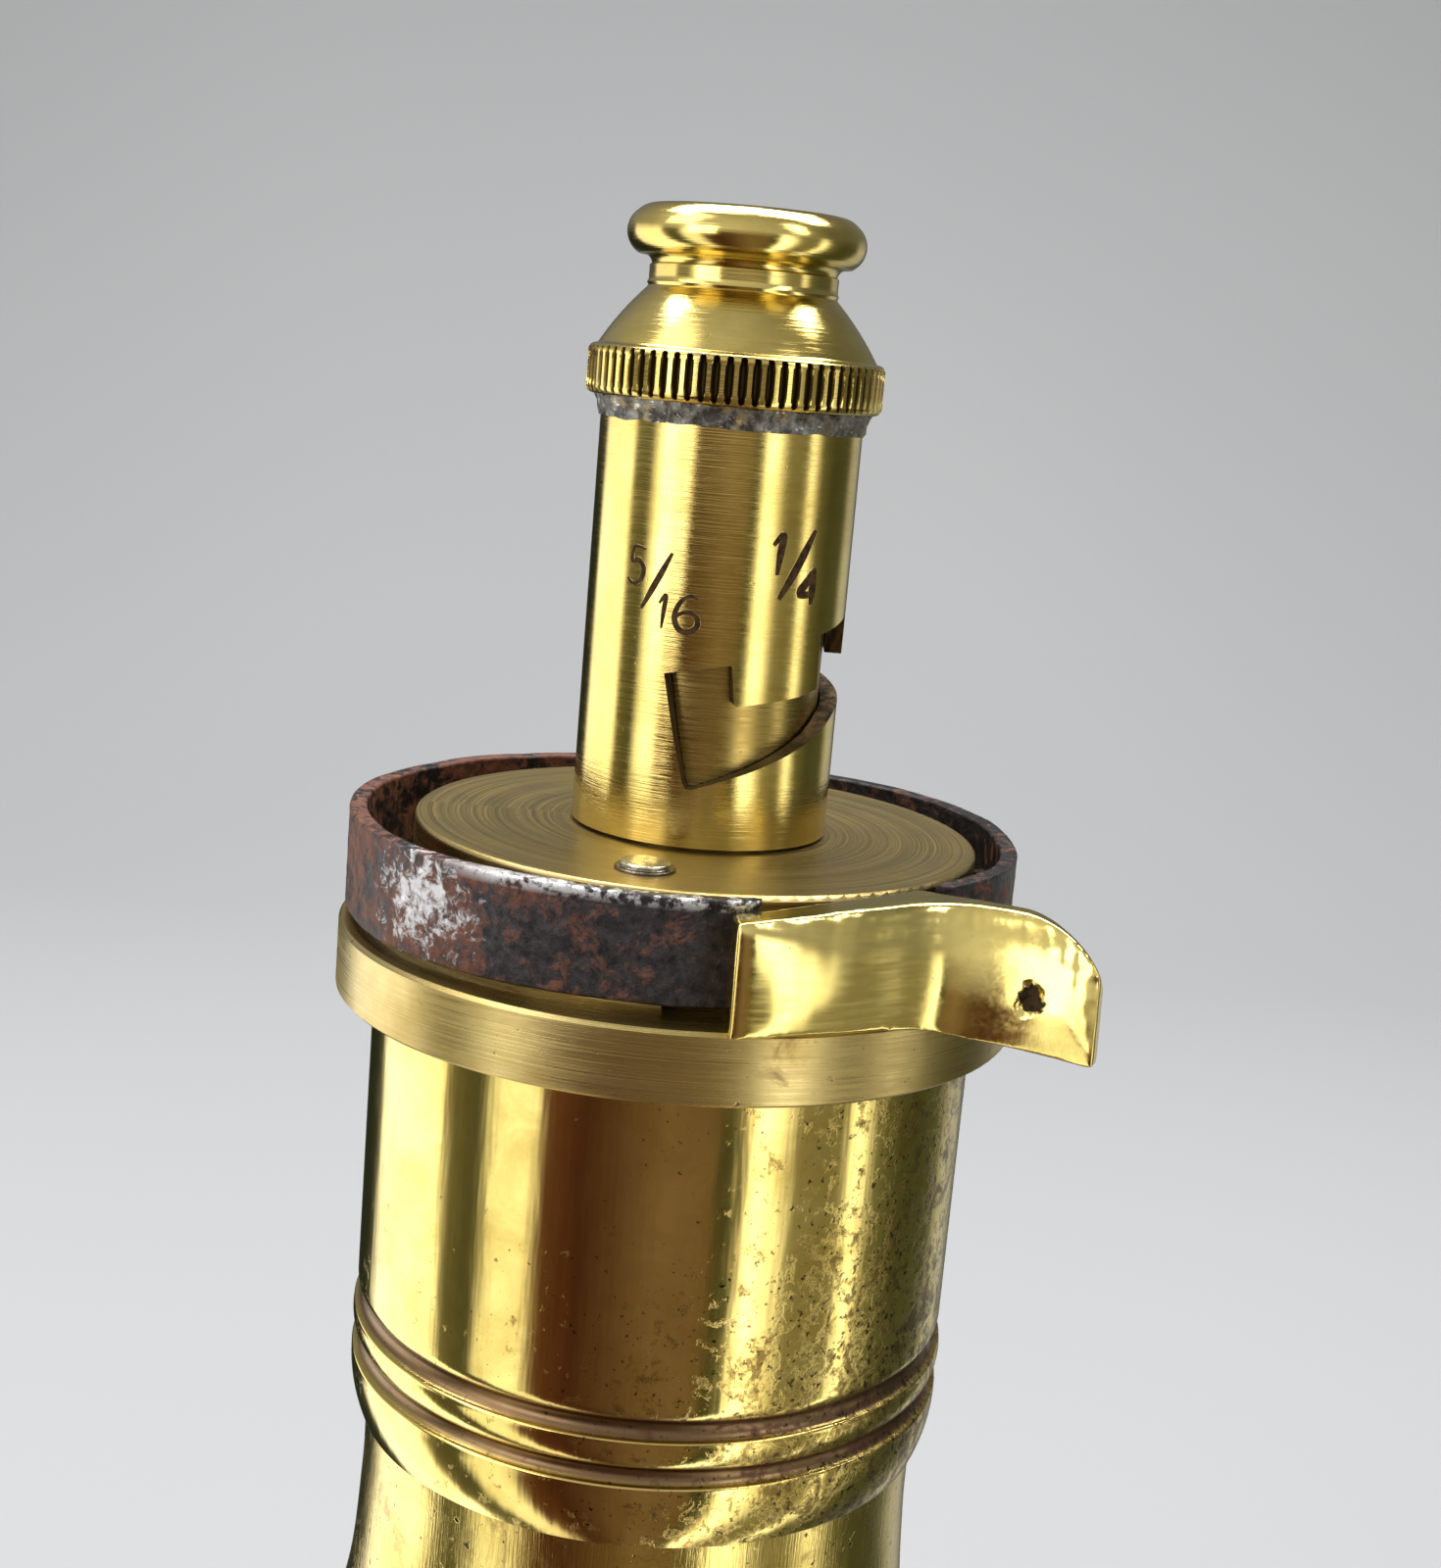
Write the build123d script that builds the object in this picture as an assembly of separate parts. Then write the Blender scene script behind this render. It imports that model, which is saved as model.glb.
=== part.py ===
from build123d import *
import math
import os

# Pistol-size powder flask: a stamped brass body of two shells, a collar, a turned head with
# a spring-loaded cut-off lever, and an adjustable charger that turns and rises on a slot.
# Millimetres. +Z runs up the flask's axis, -Y is the front, and z = 0 is the collar's top face.
# Angles round the axis are measured from the front (-Y) towards the right (+X).

# Collar and body
COLLAR_R = 12.7
COLLAR_WALL = 0.8
COLLAR_END = -18.9
COLLAR_SKIRT_TOP = -12.6
THREAD_RING_WALL = 0.8
THREAD_DEPTH = 5.2
THREAD_PITCH = 1.05
THREAD_CUT = 0.35
THREAD_GAP = 0.08
NECK_R = 12.05
SOLDER_GAP = 0.12
SHELL_WALL = 0.8
SEAM_T = 0.12
NECK_TOP = -13.0
# Height, half width and half depth of each section below the neck, then of the flat base
BODY_SECTIONS = [
    (-28.0, 12.6, 12.3),
    (-42.0, 17.2, 13.1),
    (-58.0, 22.8, 13.5),
    (-70.5, 22.6, 12.0),
    (-79.0, 15.5, 7.6),
]
BODY_BASE = (-82.6, 8.0, 3.6)

# Head
FLANGE_R = 14.3
FLANGE_T = 2.83
SPIGOT_BORE_R = 9.2
PORT_R = 2.7
BOSS_R = 11.75
BOSS_H = 4.52
BOSS_X = 0.35
SHUTTER_T = 0.4
SLIDE_GAP = 0.04
SIDE_GAP = 0.25
BOSS_RIVET_R = 0.7
BOSS_RIVET_AT = 9.6
BOSS_RIVET_DEGS = (115, 180, 245)
BOSS_RIVET_TOP = 5.6
TUBE_SEAT = 3.75
TUBE_SOLDER = 0.1
PEG_R = 0.42
PEG = (12.62, 0.2)
PEG_FOOT = 0.8
PEG_TOP = 6.25

# Cut-off lever
PIVOT = (-1.5, -8.6)
PIVOT_R = 0.9
PIVOT_HEAD_R = 1.2
PIVOT_HEAD_H = 0.4
EYE_R = 1.9
LEVER_OPEN_DEG = 36
BLADE_R = 3.2
ARM_R = 1.2
ARM_DEG = -9
ARM_LEN = 10.6
LEVER_OUT_R = 14.75
LEVER_IN_R = 12.95
LEVER_TOP = 7.45
LEVER_FOOT = 2.4
LEVER_HEEL_DEG = 8
LEVER_RIM_DEG = 32
LEVER_BACK_DEG = 44
TAIL_FRONT = [(10.5, -11.55), (12.6, -12.15), (15.4, -13.7)]
TAIL_BACK = [(15.75, -12.9), (12.9, -11.05), (10.9, -10.15)]
TAIL_END_WAY = (0.86, -0.5)
TAIL_SHOULDER = 4.5
LEVER_CROWN_X = 12.1
LEVER_RISE_X = 6.5
LEVER_ARCH_END_X = 11.0
LEVER_HEEL_DROP = 0.55
LEVER_ARCH = (5.6, 0, 2.85)
LEVER_DOME = (14.75, 0, 6.65)
NOSE = (4.1, -12.75)
NOSE_SIZE = (1.1, 1.5)
NOSE_TOP = 6.0
RIVET_R = 0.45
RIVET_AT = 13.6
RIVET_DEGS = (38, 43)
LIP_GAP = 0.12
RIVET_TOP = 4.6

# Spring strip, on edge
SPRING_T = 0.7
SPRING_Z = (3.3, 7.45)
SPRING_LINE = [
    (2.9, -12.2),
    (-0.6, -12.65),
    (-6.5, -11.3),
    (-11.2, -7.6),
    (-13.6, -1.8),
    (-13.2, 4.2),
    (-9.8, 10.0),
    (-4.0, 13.3),
    (3.0, 13.7),
    (9.2, 10.9),
    (12.7, 6.0),
    (13.55, 0.6),
    (12.6, -4.2),
    (9.9, -7.9),
]

# Charger
CHARGER_X = 0.4
TUBE_R = 4.52
TUBE_WALL = 0.6
TUBE_TOP = 21.2
SLEEVE_R = 5.33
SLEEVE_BORE_R = 4.62
SLEEVE_LIFT_GAP = 0.15
SLEEVE_TOP = 24.85
LUG_R = 0.6
LUG_DEG = 150
LUG_H = 8.0
SLOT_W = 1.9
# Slot stretches: first and last degrees, middle height above the boss, rise per radian
SLOT_RUNS = [
    (-7.4, 75, 3.45, 1.92),
    (10.6, 162, 4.95, 1.25),
]
NOTCHES = [
    [(-20, 7.0), (9, 7.58), (10.6, 5.4), (10.6, 3.6), (-7.4, 2.5)],
    [(52.5, 8.8), (88, 9.55), (91, 7.2), (53, 5.4)],
    [(131, 10.6), (160, 11.2), (162, 8.4), (131, 7.4)],
]
KNURLS = 72
KNURL_R = 6.0
LIP_R = 4.8
MOUTH_R = 2.95
CONE_NECK_R = 3.8
# One knurl: fraction of the pitch and radius
KNURL_TOOTH = [(0.0, 5.78), (0.3, 6.0), (0.7, 6.0)]

boss_top = FLANGE_T + BOSS_H
shutter_z = FLANGE_T + SLIDE_GAP
shutter_top = shutter_z + SHUTTER_T
thread_ring_r = COLLAR_R - COLLAR_WALL
thread_bore_r = thread_ring_r - THREAD_RING_WALL
spigot_r = thread_bore_r - THREAD_GAP


def turned(start, *steps):
    """Solid turned about the axis from (radius, height) points; an arc is (middle, end)."""
    edges = []
    here = start
    for step in steps + (start,):
        first = (here[0], 0, here[1])
        if isinstance(step[0], tuple):
            middle, here = step
            last = (here[0], 0, here[1])
            edges.append(ThreePointArc(first, (middle[0], 0, middle[1]), last))
        else:
            here = step
            edges.append(Line(first, (here[0], 0, here[1])))
    return revolve(make_face(edges), Axis.Z)


def rod(radius, low, high, x=0.0, y=0.0):
    """Upright cylinder between two heights."""
    return Pos(x, y, (low + high) / 2) * Cylinder(radius, high - low)


def ring(outer, inner, low, high, x=0.0, y=0.0):
    """Upright tube between two heights."""
    return rod(outer, low, high, x, y) - rod(inner, low - 1, high + 1, x, y)


def around(radius, degrees, x=0.0):
    """Plan position at a radius and an angle from the front towards the right."""
    angle = math.radians(degrees)
    return x + radius * math.sin(angle), -radius * math.cos(angle)


def swung(degrees, length):
    """Plan position at a distance and direction from the lever's pivot."""
    angle = math.radians(degrees)
    return PIVOT[0] + length * math.cos(angle), PIVOT[1] + length * math.sin(angle)


def capsule(discs, low, high):
    """Plate whose outline is the tight band round several (x, y, radius) discs."""
    circles = []
    for x, y, radius in discs:
        circles.append(Edge.make_circle(radius, Plane((x, y, 0))))
    return Pos(0, 0, low) * extrude(make_face(make_hull(circles)), high - low, dir=(0, 0, 1))


# ---- flask body ------------------------------------------------------------------------

def body_form(inset):
    """Outer form of the body, or its inside when inset by the wall."""
    top = Plane((0, 0, NECK_TOP))
    sections = [Plane((0, 0, COLLAR_END)) * Circle(NECK_R - inset)]
    for z, half_width, half_depth in BODY_SECTIONS:
        sections.append(Plane((0, 0, z)) * Ellipse(half_width - inset, half_depth - inset))
    base_z, base_width, base_depth = BODY_BASE
    sections.append(Plane((0, 0, base_z + inset)) * Ellipse(base_width - inset, base_depth - inset))
    neck = extrude(top * Circle(NECK_R - inset), NECK_TOP - COLLAR_END, dir=(0, 0, -1))
    return neck + loft(sections)


def make_body():
    """Two stamped half shells, butted and soldered along the edge."""
    wall = body_form(0) - body_form(SHELL_WALL)
    size = 200
    side = size / 2 + SEAM_T / 2
    front = wall & (Pos(0, -side, 0) * Box(size, size, size))
    back = wall & (Pos(0, side, 0) * Box(size, size, size))
    seam = wall & Box(size, SEAM_T, size)
    return front, back, seam


def make_collar():
    """Drawn tube with two coved grooves and an ovolo foot."""
    skirt_bore = NECK_R + SOLDER_GAP
    bore = COLLAR_R - COLLAR_WALL
    proud = COLLAR_R + 0.08
    return turned(
        (bore, 0),
        (COLLAR_R - 0.15, 0),
        (COLLAR_R, -0.15),
        (COLLAR_R, -13.1),
        ((COLLAR_R - 0.32, -13.6), (proud, -14.15)),
        ((proud + 0.02, -14.8), (COLLAR_R - 0.1, -15.4)),
        ((COLLAR_R - 0.26, -15.75), (proud, -16.1)),
        ((COLLAR_R - 0.06, -17.7), (skirt_bore + 0.1, COLLAR_END)),
        (skirt_bore, COLLAR_END),
        (skirt_bore, COLLAR_SKIRT_TOP),
        (bore, COLLAR_SKIRT_TOP),
    )


def thread_grooves(radius):
    """Ring cutters that stand for a thread's turns, on the given crest radius."""
    cutters = []
    turns = int(THREAD_DEPTH / THREAD_PITCH)
    for turn in range(turns):
        z = -(turn + 0.6) * THREAD_PITCH
        cutters.append(Pos(0, 0, z) * Torus(radius, THREAD_CUT))
    return cutters


def make_thread_ring():
    blank = ring(thread_ring_r, thread_bore_r, -THREAD_DEPTH, -0.1)
    return blank - thread_grooves(thread_bore_r)


# ---- head ------------------------------------------------------------------------------

def sweep_directions():
    """Turns of the lever from shut to open, in even steps."""
    steps = 3
    return [-LEVER_OPEN_DEG * step / steps for step in range(steps + 1)]


def blade_place(turn):
    """Middle of the shutter's blade when the lever has turned."""
    reach = math.hypot(CHARGER_X - PIVOT[0], -PIVOT[1])
    start = math.degrees(math.atan2(-PIVOT[1], CHARGER_X - PIVOT[0]))
    return swung(start + turn, reach)


def slide_space(low, high):
    """Shallow space under the boss that the shutter and its arm sweep."""
    blade = [(*PIVOT, EYE_R + SIDE_GAP)]
    arm = [(*PIVOT, ARM_R + SIDE_GAP)]
    for turn in sweep_directions():
        x, y = blade_place(turn)
        blade.append((x, y, BLADE_R + SIDE_GAP))
        x, y = swung(ARM_DEG + turn, ARM_LEN + 3)
        arm.append((x, y, ARM_R + SIDE_GAP))
    return capsule(blade, low, high) + capsule(arm, low, high)


def make_head_base():
    """Flange with its threaded spigot and the powder port."""
    base = turned(
        (SPIGOT_BORE_R, -THREAD_DEPTH),
        (spigot_r - 0.3, -THREAD_DEPTH),
        (spigot_r, -THREAD_DEPTH + 0.3),
        (spigot_r, 0),
        (FLANGE_R - 0.1, 0),
        (FLANGE_R, 0.1),
        (FLANGE_R, FLANGE_T - 0.15),
        (FLANGE_R - 0.15, FLANGE_T),
        (0, FLANGE_T),
        (0, 1.2),
        (3.2, 1.2),
        (SPIGOT_BORE_R, -1.6),
    )
    base -= thread_grooves(spigot_r)
    base -= rod(PORT_R, 0, FLANGE_T + 1, CHARGER_X)
    base -= rod(PIVOT_R, -2, FLANGE_T + 1, *PIVOT)
    base -= rod(PEG_R, PEG_FOOT, FLANGE_T + 1, *PEG)
    for degrees in BOSS_RIVET_DEGS:
        base -= rod(BOSS_RIVET_R, -3, FLANGE_T + 1, *around(BOSS_RIVET_AT, degrees))
    return base


def make_top_boss():
    """Turned disc over the shutter, bored for the charger's tube."""
    boss = Pos(BOSS_X, 0, 0) * turned(
        (0, FLANGE_T),
        (BOSS_R, FLANGE_T),
        (BOSS_R, boss_top - 0.2),
        ((BOSS_R - 0.06, boss_top - 0.06), (BOSS_R - 0.2, boss_top)),
        (0, boss_top),
    )
    boss -= slide_space(FLANGE_T - 1, shutter_top + SLIDE_GAP)
    boss -= rod(MOUTH_R, 0, boss_top + 1, CHARGER_X)
    boss -= rod(TUBE_R + TUBE_SOLDER, TUBE_SEAT, boss_top + 1, CHARGER_X)
    boss -= rod(PIVOT_R, 0, boss_top + 1, *PIVOT)
    for degrees in BOSS_RIVET_DEGS:
        boss -= rod(BOSS_RIVET_R, 0, BOSS_RIVET_TOP, *around(BOSS_RIVET_AT, degrees))
    return boss


def make_boss_rivets():
    """Rivets driven up through the flange into the boss."""
    rivets = []
    for degrees in BOSS_RIVET_DEGS:
        rivets.append(rod(BOSS_RIVET_R, -0.4, BOSS_RIVET_TOP, *around(BOSS_RIVET_AT, degrees)))
    return Compound(children=rivets)


def make_pivot_pin():
    """Pin with a ringed dome head on the boss and a riveted end under the flange."""
    shank = rod(PIVOT_R, -0.9, boss_top, *PIVOT)
    collar_ring = rod(PIVOT_HEAD_R, boss_top, boss_top + 0.12, *PIVOT)
    dome_r = PIVOT_HEAD_R - 0.15
    dome = Pos(PIVOT[0], PIVOT[1], boss_top + PIVOT_HEAD_H - dome_r) * Sphere(dome_r)
    dome &= rod(PIVOT_HEAD_R, boss_top, boss_top + 1, *PIVOT)
    return shank + collar_ring + dome


def make_spring():
    """C-shaped strip with rounded ends, standing on edge round the boss."""
    line = Spline(*SPRING_LINE)
    half = SPRING_T / 2
    steps = 2 * len(SPRING_LINE)
    outer = []
    inner = []
    for step in range(steps + 1):
        point = line @ (step / steps)
        side = (line % (step / steps)).rotate(Axis.Z, 90)
        outer.append(point - side * half)
        inner.append(point + side * half)
    first_end = (line @ 0) - (line % 0) * half
    last_end = (line @ 1) + (line % 1) * half
    outline = [
        Spline(*outer),
        ThreePointArc(outer[-1], last_end, inner[-1]),
        Spline(*reversed(inner)),
        ThreePointArc(inner[0], first_end, outer[0]),
    ]
    low, high = SPRING_Z
    return Pos(0, 0, low) * extrude(make_face(outline), high - low, dir=(0, 0, 1))


def make_peg():
    return rod(PEG_R, PEG_FOOT, PEG_TOP, *PEG)


# ---- cut-off lever ---------------------------------------------------------------------

def lever_arm(low, high):
    """Arm that joins the pivot's eye to the thumb lever, round at its outer end."""
    x, y = swung(ARM_DEG, ARM_LEN / 2)
    bar = Pos(x, y, (low + high) / 2) * Rot(0, 0, ARM_DEG) * Box(ARM_LEN, 2 * ARM_R, high - low)
    return bar + rod(ARM_R, low, high, *swung(ARM_DEG, ARM_LEN))


def make_cutoff_plate():
    """Shutter blade and arm in one plate, turning on the pivot pin."""
    x, y = blade_place(0)
    plate = capsule([(*PIVOT, EYE_R), (x, y, BLADE_R)], shutter_z, shutter_top)
    plate += lever_arm(shutter_z, shutter_top)
    plate &= rod(FLANGE_R, shutter_z, shutter_top)
    plate -= rod(PIVOT_R + SLIDE_GAP, 0, boss_top, *PIVOT)
    for degrees in RIVET_DEGS:
        plate -= rod(RIVET_R, 0, boss_top, *around(RIVET_AT, degrees))
    return plate


def lever_plan():
    """Plan of the lever: it hugs the flange's rim, then flicks out to the thumb tail."""
    heel_out = around(LEVER_OUT_R, LEVER_HEEL_DEG)
    rim_out = around(LEVER_OUT_R, LEVER_RIM_DEG)
    rim_out_mid = around(LEVER_OUT_R, (LEVER_HEEL_DEG + LEVER_RIM_DEG) / 2)
    heel_in = around(LEVER_IN_R, LEVER_HEEL_DEG)
    rim_in = around(LEVER_IN_R, LEVER_BACK_DEG)
    rim_in_mid = around(LEVER_IN_R, (LEVER_HEEL_DEG + LEVER_BACK_DEG) / 2)
    edges = [
        ThreePointArc(heel_out, rim_out_mid, rim_out),
        Spline(rim_out, *TAIL_FRONT, tangents=[around(1, LEVER_RIM_DEG + 90), TAIL_END_WAY]),
        Line(TAIL_FRONT[-1], TAIL_BACK[0]),
        Spline(*TAIL_BACK, rim_in),
        ThreePointArc(rim_in, rim_in_mid, heel_in),
        Line(heel_in, heel_out),
    ]
    return make_face(edges)


def lever_side():
    """Front view of the lever: arched foot, high back and a domed shoulder at the tail."""
    tip = TAIL_BACK[0][0] + 0.1
    arch_end = (LEVER_ARCH_END_X, 0, LEVER_FOOT + 0.1)
    foot_end = (tip, 0, LEVER_FOOT)
    shoulder = (tip, 0, TAIL_SHOULDER)
    crown = (LEVER_CROWN_X, 0, LEVER_TOP)
    rise = (LEVER_RISE_X, 0, LEVER_TOP)
    heel_top = (0, 0, LEVER_TOP - LEVER_HEEL_DROP)
    heel_foot = (0, 0, LEVER_FOOT)
    edges = [
        ThreePointArc(heel_foot, LEVER_ARCH, arch_end),
        Line(arch_end, foot_end),
        Line(foot_end, shoulder),
        ThreePointArc(shoulder, LEVER_DOME, crown),
        Line(crown, rise),
        Line(rise, heel_top),
        Line(heel_top, heel_foot),
    ]
    return make_face(edges)


def make_thumb_lever():
    """Cast lever: a wall that stands on the flange's edge, with a rounded thumb tail."""
    wall = Pos(0, 0, LEVER_FOOT) * extrude(lever_plan(), LEVER_TOP - LEVER_FOOT, dir=(0, 0, 1))
    lever = wall & extrude(lever_side(), 2 * FLANGE_R, dir=(0, -1, 0))
    lever += nose_block()
    lever -= rod(FLANGE_R + LIP_GAP, 0, shutter_z)
    lever -= lever_arm(0, shutter_top)
    for degrees in RIVET_DEGS:
        lever -= rod(RIVET_R, 0, RIVET_TOP, *around(RIVET_AT, degrees))
    return lever


def nose_block():
    """Shoulder inside the heel that the spring's free end pushes."""
    x, y = NOSE
    return Pos(x, y, (shutter_top + NOSE_TOP) / 2) * Box(*NOSE_SIZE, NOSE_TOP - shutter_top)


def make_lever_rivets():
    rivets = []
    for degrees in RIVET_DEGS:
        rivets.append(rod(RIVET_R, shutter_z, RIVET_TOP, *around(RIVET_AT, degrees)))
    return Compound(children=rivets)


# ---- charger ---------------------------------------------------------------------------

def make_tube():
    """Inner tube soldered into the boss."""
    tube = ring(TUBE_R, TUBE_R - TUBE_WALL, TUBE_SEAT, TUBE_TOP, CHARGER_X)
    return tube - lug(TUBE_R + 1)


def make_tube_solder():
    return ring(TUBE_R + TUBE_SOLDER, TUBE_R, TUBE_SEAT, boss_top - 0.1, CHARGER_X)


def lug(reach):
    """Stud through the tube's wall, out to a radius from the charger's axis."""
    inner = TUBE_R - TUBE_WALL
    stud = Rot(0, 90, 0) * Cylinder(LUG_R, reach - inner)
    stud = Pos((reach + inner) / 2, 0, boss_top + LUG_H) * stud
    return Pos(CHARGER_X, 0, 0) * (Rot(0, 0, LUG_DEG - 90) * stud)


def slot_run(first_deg, last_deg, middle_z, rise_per_rad):
    """Cutter that follows a helical stretch of the sleeve's slot."""
    span = math.radians(last_deg - first_deg)
    path = Helix(rise_per_rad * 2 * math.pi, rise_per_rad * span, SLEEVE_R - 0.3)
    section = Plane(origin=path @ 0, x_dir=(1, 0, 0), z_dir=path % 0) * Rectangle(2.4, SLOT_W)
    run = sweep(section, path=path, is_frenet=True)
    return Pos(0, 0, boss_top + middle_z) * (Rot(0, 0, first_deg - 90) * run)


def notch(*corners):
    """Filed notch from (degrees, height above the boss) corners."""
    degs = [corner[0] for corner in corners]
    middle = (min(degs) + max(degs)) / 2
    points = []
    for degrees, height in corners:
        across = SLEEVE_R * math.sin(math.radians(degrees - middle))
        points.append((across, -3.2, boss_top + height))
    cutter = extrude(make_face(Polyline(*points, close=True)), 4, dir=(0, -1, 0))
    return Rot(0, 0, middle) * cutter


def make_sleeve():
    """Outer tube of the charger with its stepped, rising slot."""
    low = boss_top + SLEEVE_LIFT_GAP
    sleeve = rod(SLEEVE_R, low, SLEEVE_TOP) - rod(SLEEVE_BORE_R, 0, SLEEVE_TOP + 1)
    for cutter in SLOT_RUNS:
        sleeve -= slot_run(*cutter)
    for corners in NOTCHES:
        sleeve -= notch(*corners)
    return Pos(CHARGER_X, 0, 0) * sleeve


def knurled_outline():
    """Knurled ring's plan: narrow straight grooves round the rim."""
    points = []
    pitch = 2 * math.pi / KNURLS
    for index in range(KNURLS):
        angle = index * pitch
        for fraction, radius in KNURL_TOOTH:
            turn = angle + fraction * pitch
            points.append((radius * math.cos(turn), radius * math.sin(turn)))
    return make_face(Polyline(*points, close=True))


def make_mouth():
    """Turned mouthpiece: knurled ring, cone, neck and rolled lip round the bore."""
    low = SLEEVE_TOP
    form = turned(
        (SLEEVE_BORE_R, low),
        (KNURL_R - 0.35, low),
        ((KNURL_R - 0.08, low + 0.12), (KNURL_R, low + 0.4)),
        (KNURL_R, low + 1.5),
        ((KNURL_R - 0.1, low + 1.8), (KNURL_R - 0.35, low + 1.92)),
        (KNURL_R - 0.35, low + 2.0),
        ((4.65, low + 3.55), (CONE_NECK_R, low + 4.35)),
        (CONE_NECK_R, low + 5.3),
        ((CONE_NECK_R + 0.25, low + 5.52), (LIP_R - 0.35, low + 5.62)),
        ((LIP_R, low + 6.45), (LIP_R - 0.45, low + 7.25)),
        ((LIP_R - 1.0, low + 7.55), (LIP_R - 1.4, low + 7.45)),
        ((MOUTH_R + 0.1, low + 7.3), (MOUTH_R, low + 7.0)),
        (MOUTH_R, low + 4.2),
        (SLEEVE_BORE_R, low + 1.6),
    )
    knurl = Pos(0, 0, low - 1) * extrude(knurled_outline(), 2.95, dir=(0, 0, 1))
    knurl += rod(KNURL_R - 0.3, low + 1.9, low + 9)
    return Pos(CHARGER_X, 0, 0) * (form & knurl)


def make_mouth_solder():
    """Band of solder under the knurled ring."""
    gap = 0.06
    band = turned(
        (SLEEVE_R + gap, SLEEVE_TOP - 0.85),
        (SLEEVE_R + 0.14, SLEEVE_TOP - 0.8),
        ((SLEEVE_R + 0.22, SLEEVE_TOP - 0.35), (SLEEVE_R + 0.3, SLEEVE_TOP)),
        (SLEEVE_R + gap, SLEEVE_TOP),
    )
    return Pos(CHARGER_X, 0, 0) * band


front_shell, back_shell, seam_solder = make_body()
nodes = {
    "body_front_shell": front_shell,
    "body_back_shell": back_shell,
    "body_seam_solder": seam_solder,
    "collar": make_collar(),
    "collar_solder": ring(NECK_R + SOLDER_GAP, NECK_R, COLLAR_END + 0.2, NECK_TOP),
    "collar_thread_ring": make_thread_ring(),
    "head_base": make_head_base(),
    "top_boss": make_top_boss(),
    "boss_rivets": make_boss_rivets(),
    "pivot_pin": make_pivot_pin(),
    "lever_spring": make_spring(),
    "spring_peg": make_peg(),
    "cutoff_plate": make_cutoff_plate(),
    "thumb_lever": make_thumb_lever(),
    "lever_rivets": make_lever_rivets(),
    "charger_tube": make_tube(),
    "tube_solder": make_tube_solder(),
    "charger_lug": lug(SLEEVE_R - 0.08),
    "charger_sleeve": make_sleeve(),
    "charger_mouth": make_mouth(),
    "mouth_solder": make_mouth_solder(),
}

os.makedirs("parts", exist_ok=True)
for name, solid in nodes.items():
    export_step(solid, f"parts/{name}.step")
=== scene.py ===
"""Brass powder flask: the looks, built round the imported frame. Metres; MM turns millimetres into metres."""

import math

import bmesh
import bpy
from mathutils import Matrix, Vector, noise
from mathutils.geometry import tessellate_polygon


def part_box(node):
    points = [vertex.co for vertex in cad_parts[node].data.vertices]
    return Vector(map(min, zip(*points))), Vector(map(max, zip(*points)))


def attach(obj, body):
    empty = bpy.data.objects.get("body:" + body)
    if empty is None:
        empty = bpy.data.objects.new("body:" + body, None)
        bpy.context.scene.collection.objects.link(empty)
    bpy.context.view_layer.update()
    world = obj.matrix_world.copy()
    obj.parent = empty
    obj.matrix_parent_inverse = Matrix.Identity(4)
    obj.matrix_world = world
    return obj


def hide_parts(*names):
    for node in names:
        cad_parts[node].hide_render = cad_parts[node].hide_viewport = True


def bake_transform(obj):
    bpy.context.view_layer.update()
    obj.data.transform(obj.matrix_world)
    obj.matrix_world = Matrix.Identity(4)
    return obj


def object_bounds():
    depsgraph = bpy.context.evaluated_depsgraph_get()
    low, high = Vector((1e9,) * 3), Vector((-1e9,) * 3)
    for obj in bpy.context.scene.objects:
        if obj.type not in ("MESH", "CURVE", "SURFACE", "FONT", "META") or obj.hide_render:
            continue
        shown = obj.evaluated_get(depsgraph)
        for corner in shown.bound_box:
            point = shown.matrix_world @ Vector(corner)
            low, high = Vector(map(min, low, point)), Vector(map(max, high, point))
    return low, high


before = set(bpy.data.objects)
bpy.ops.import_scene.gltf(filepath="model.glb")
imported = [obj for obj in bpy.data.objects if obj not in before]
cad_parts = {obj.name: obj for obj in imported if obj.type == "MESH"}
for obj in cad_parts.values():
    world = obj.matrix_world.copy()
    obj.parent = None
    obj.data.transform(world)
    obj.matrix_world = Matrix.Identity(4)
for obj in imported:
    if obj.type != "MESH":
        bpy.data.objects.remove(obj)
cad_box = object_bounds()

MM = 0.001

# ---- sizes read from the frame ---------------------------------------------------------

collar_low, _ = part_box("collar")
boss_low, boss_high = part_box("top_boss")
sleeve_low, sleeve_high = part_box("charger_sleeve")
tube_low, tube_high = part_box("charger_tube")
mouth_low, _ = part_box("charger_mouth")
spring_low, spring_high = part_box("lever_spring")

charger_x = (sleeve_low[0] + sleeve_high[0]) / 2
boss_x = (boss_low[0] + boss_high[0]) / 2
sleeve_r = (sleeve_high[0] - sleeve_low[0]) / 2
boss_top = boss_high[2]


# ---- mesh helpers ----------------------------------------------------------------------

def add_piece(name, verts, faces, material, body, replaces=(), sharp_deg=32):
    """A mesh piece that rides on a body, if one is named, smooth but for edges sharper than sharp_deg."""
    mesh = bpy.data.meshes.new(name)
    mesh.from_pydata([tuple(v) for v in verts], [], faces)
    mesh.validate()
    piece = bpy.data.objects.new(name, mesh)
    bpy.context.scene.collection.objects.link(piece)
    tidy_normals(piece, sharp_deg)
    piece.data.materials.append(material)
    if body:
        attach(piece, body)
    if replaces:
        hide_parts(*replaces)
    return piece


def tidy_normals(piece, sharp_deg):
    """Faces outwards, shaded smooth, with sharp edges kept."""
    form = bmesh.new()
    form.from_mesh(piece.data)
    bmesh.ops.remove_doubles(form, verts=form.verts, dist=1e-7)
    bmesh.ops.recalc_face_normals(form, faces=form.faces)
    form.to_mesh(piece.data)
    form.free()
    piece.data.shade_smooth()
    piece.data.set_sharp_from_angle(angle=math.radians(sharp_deg))


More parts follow.
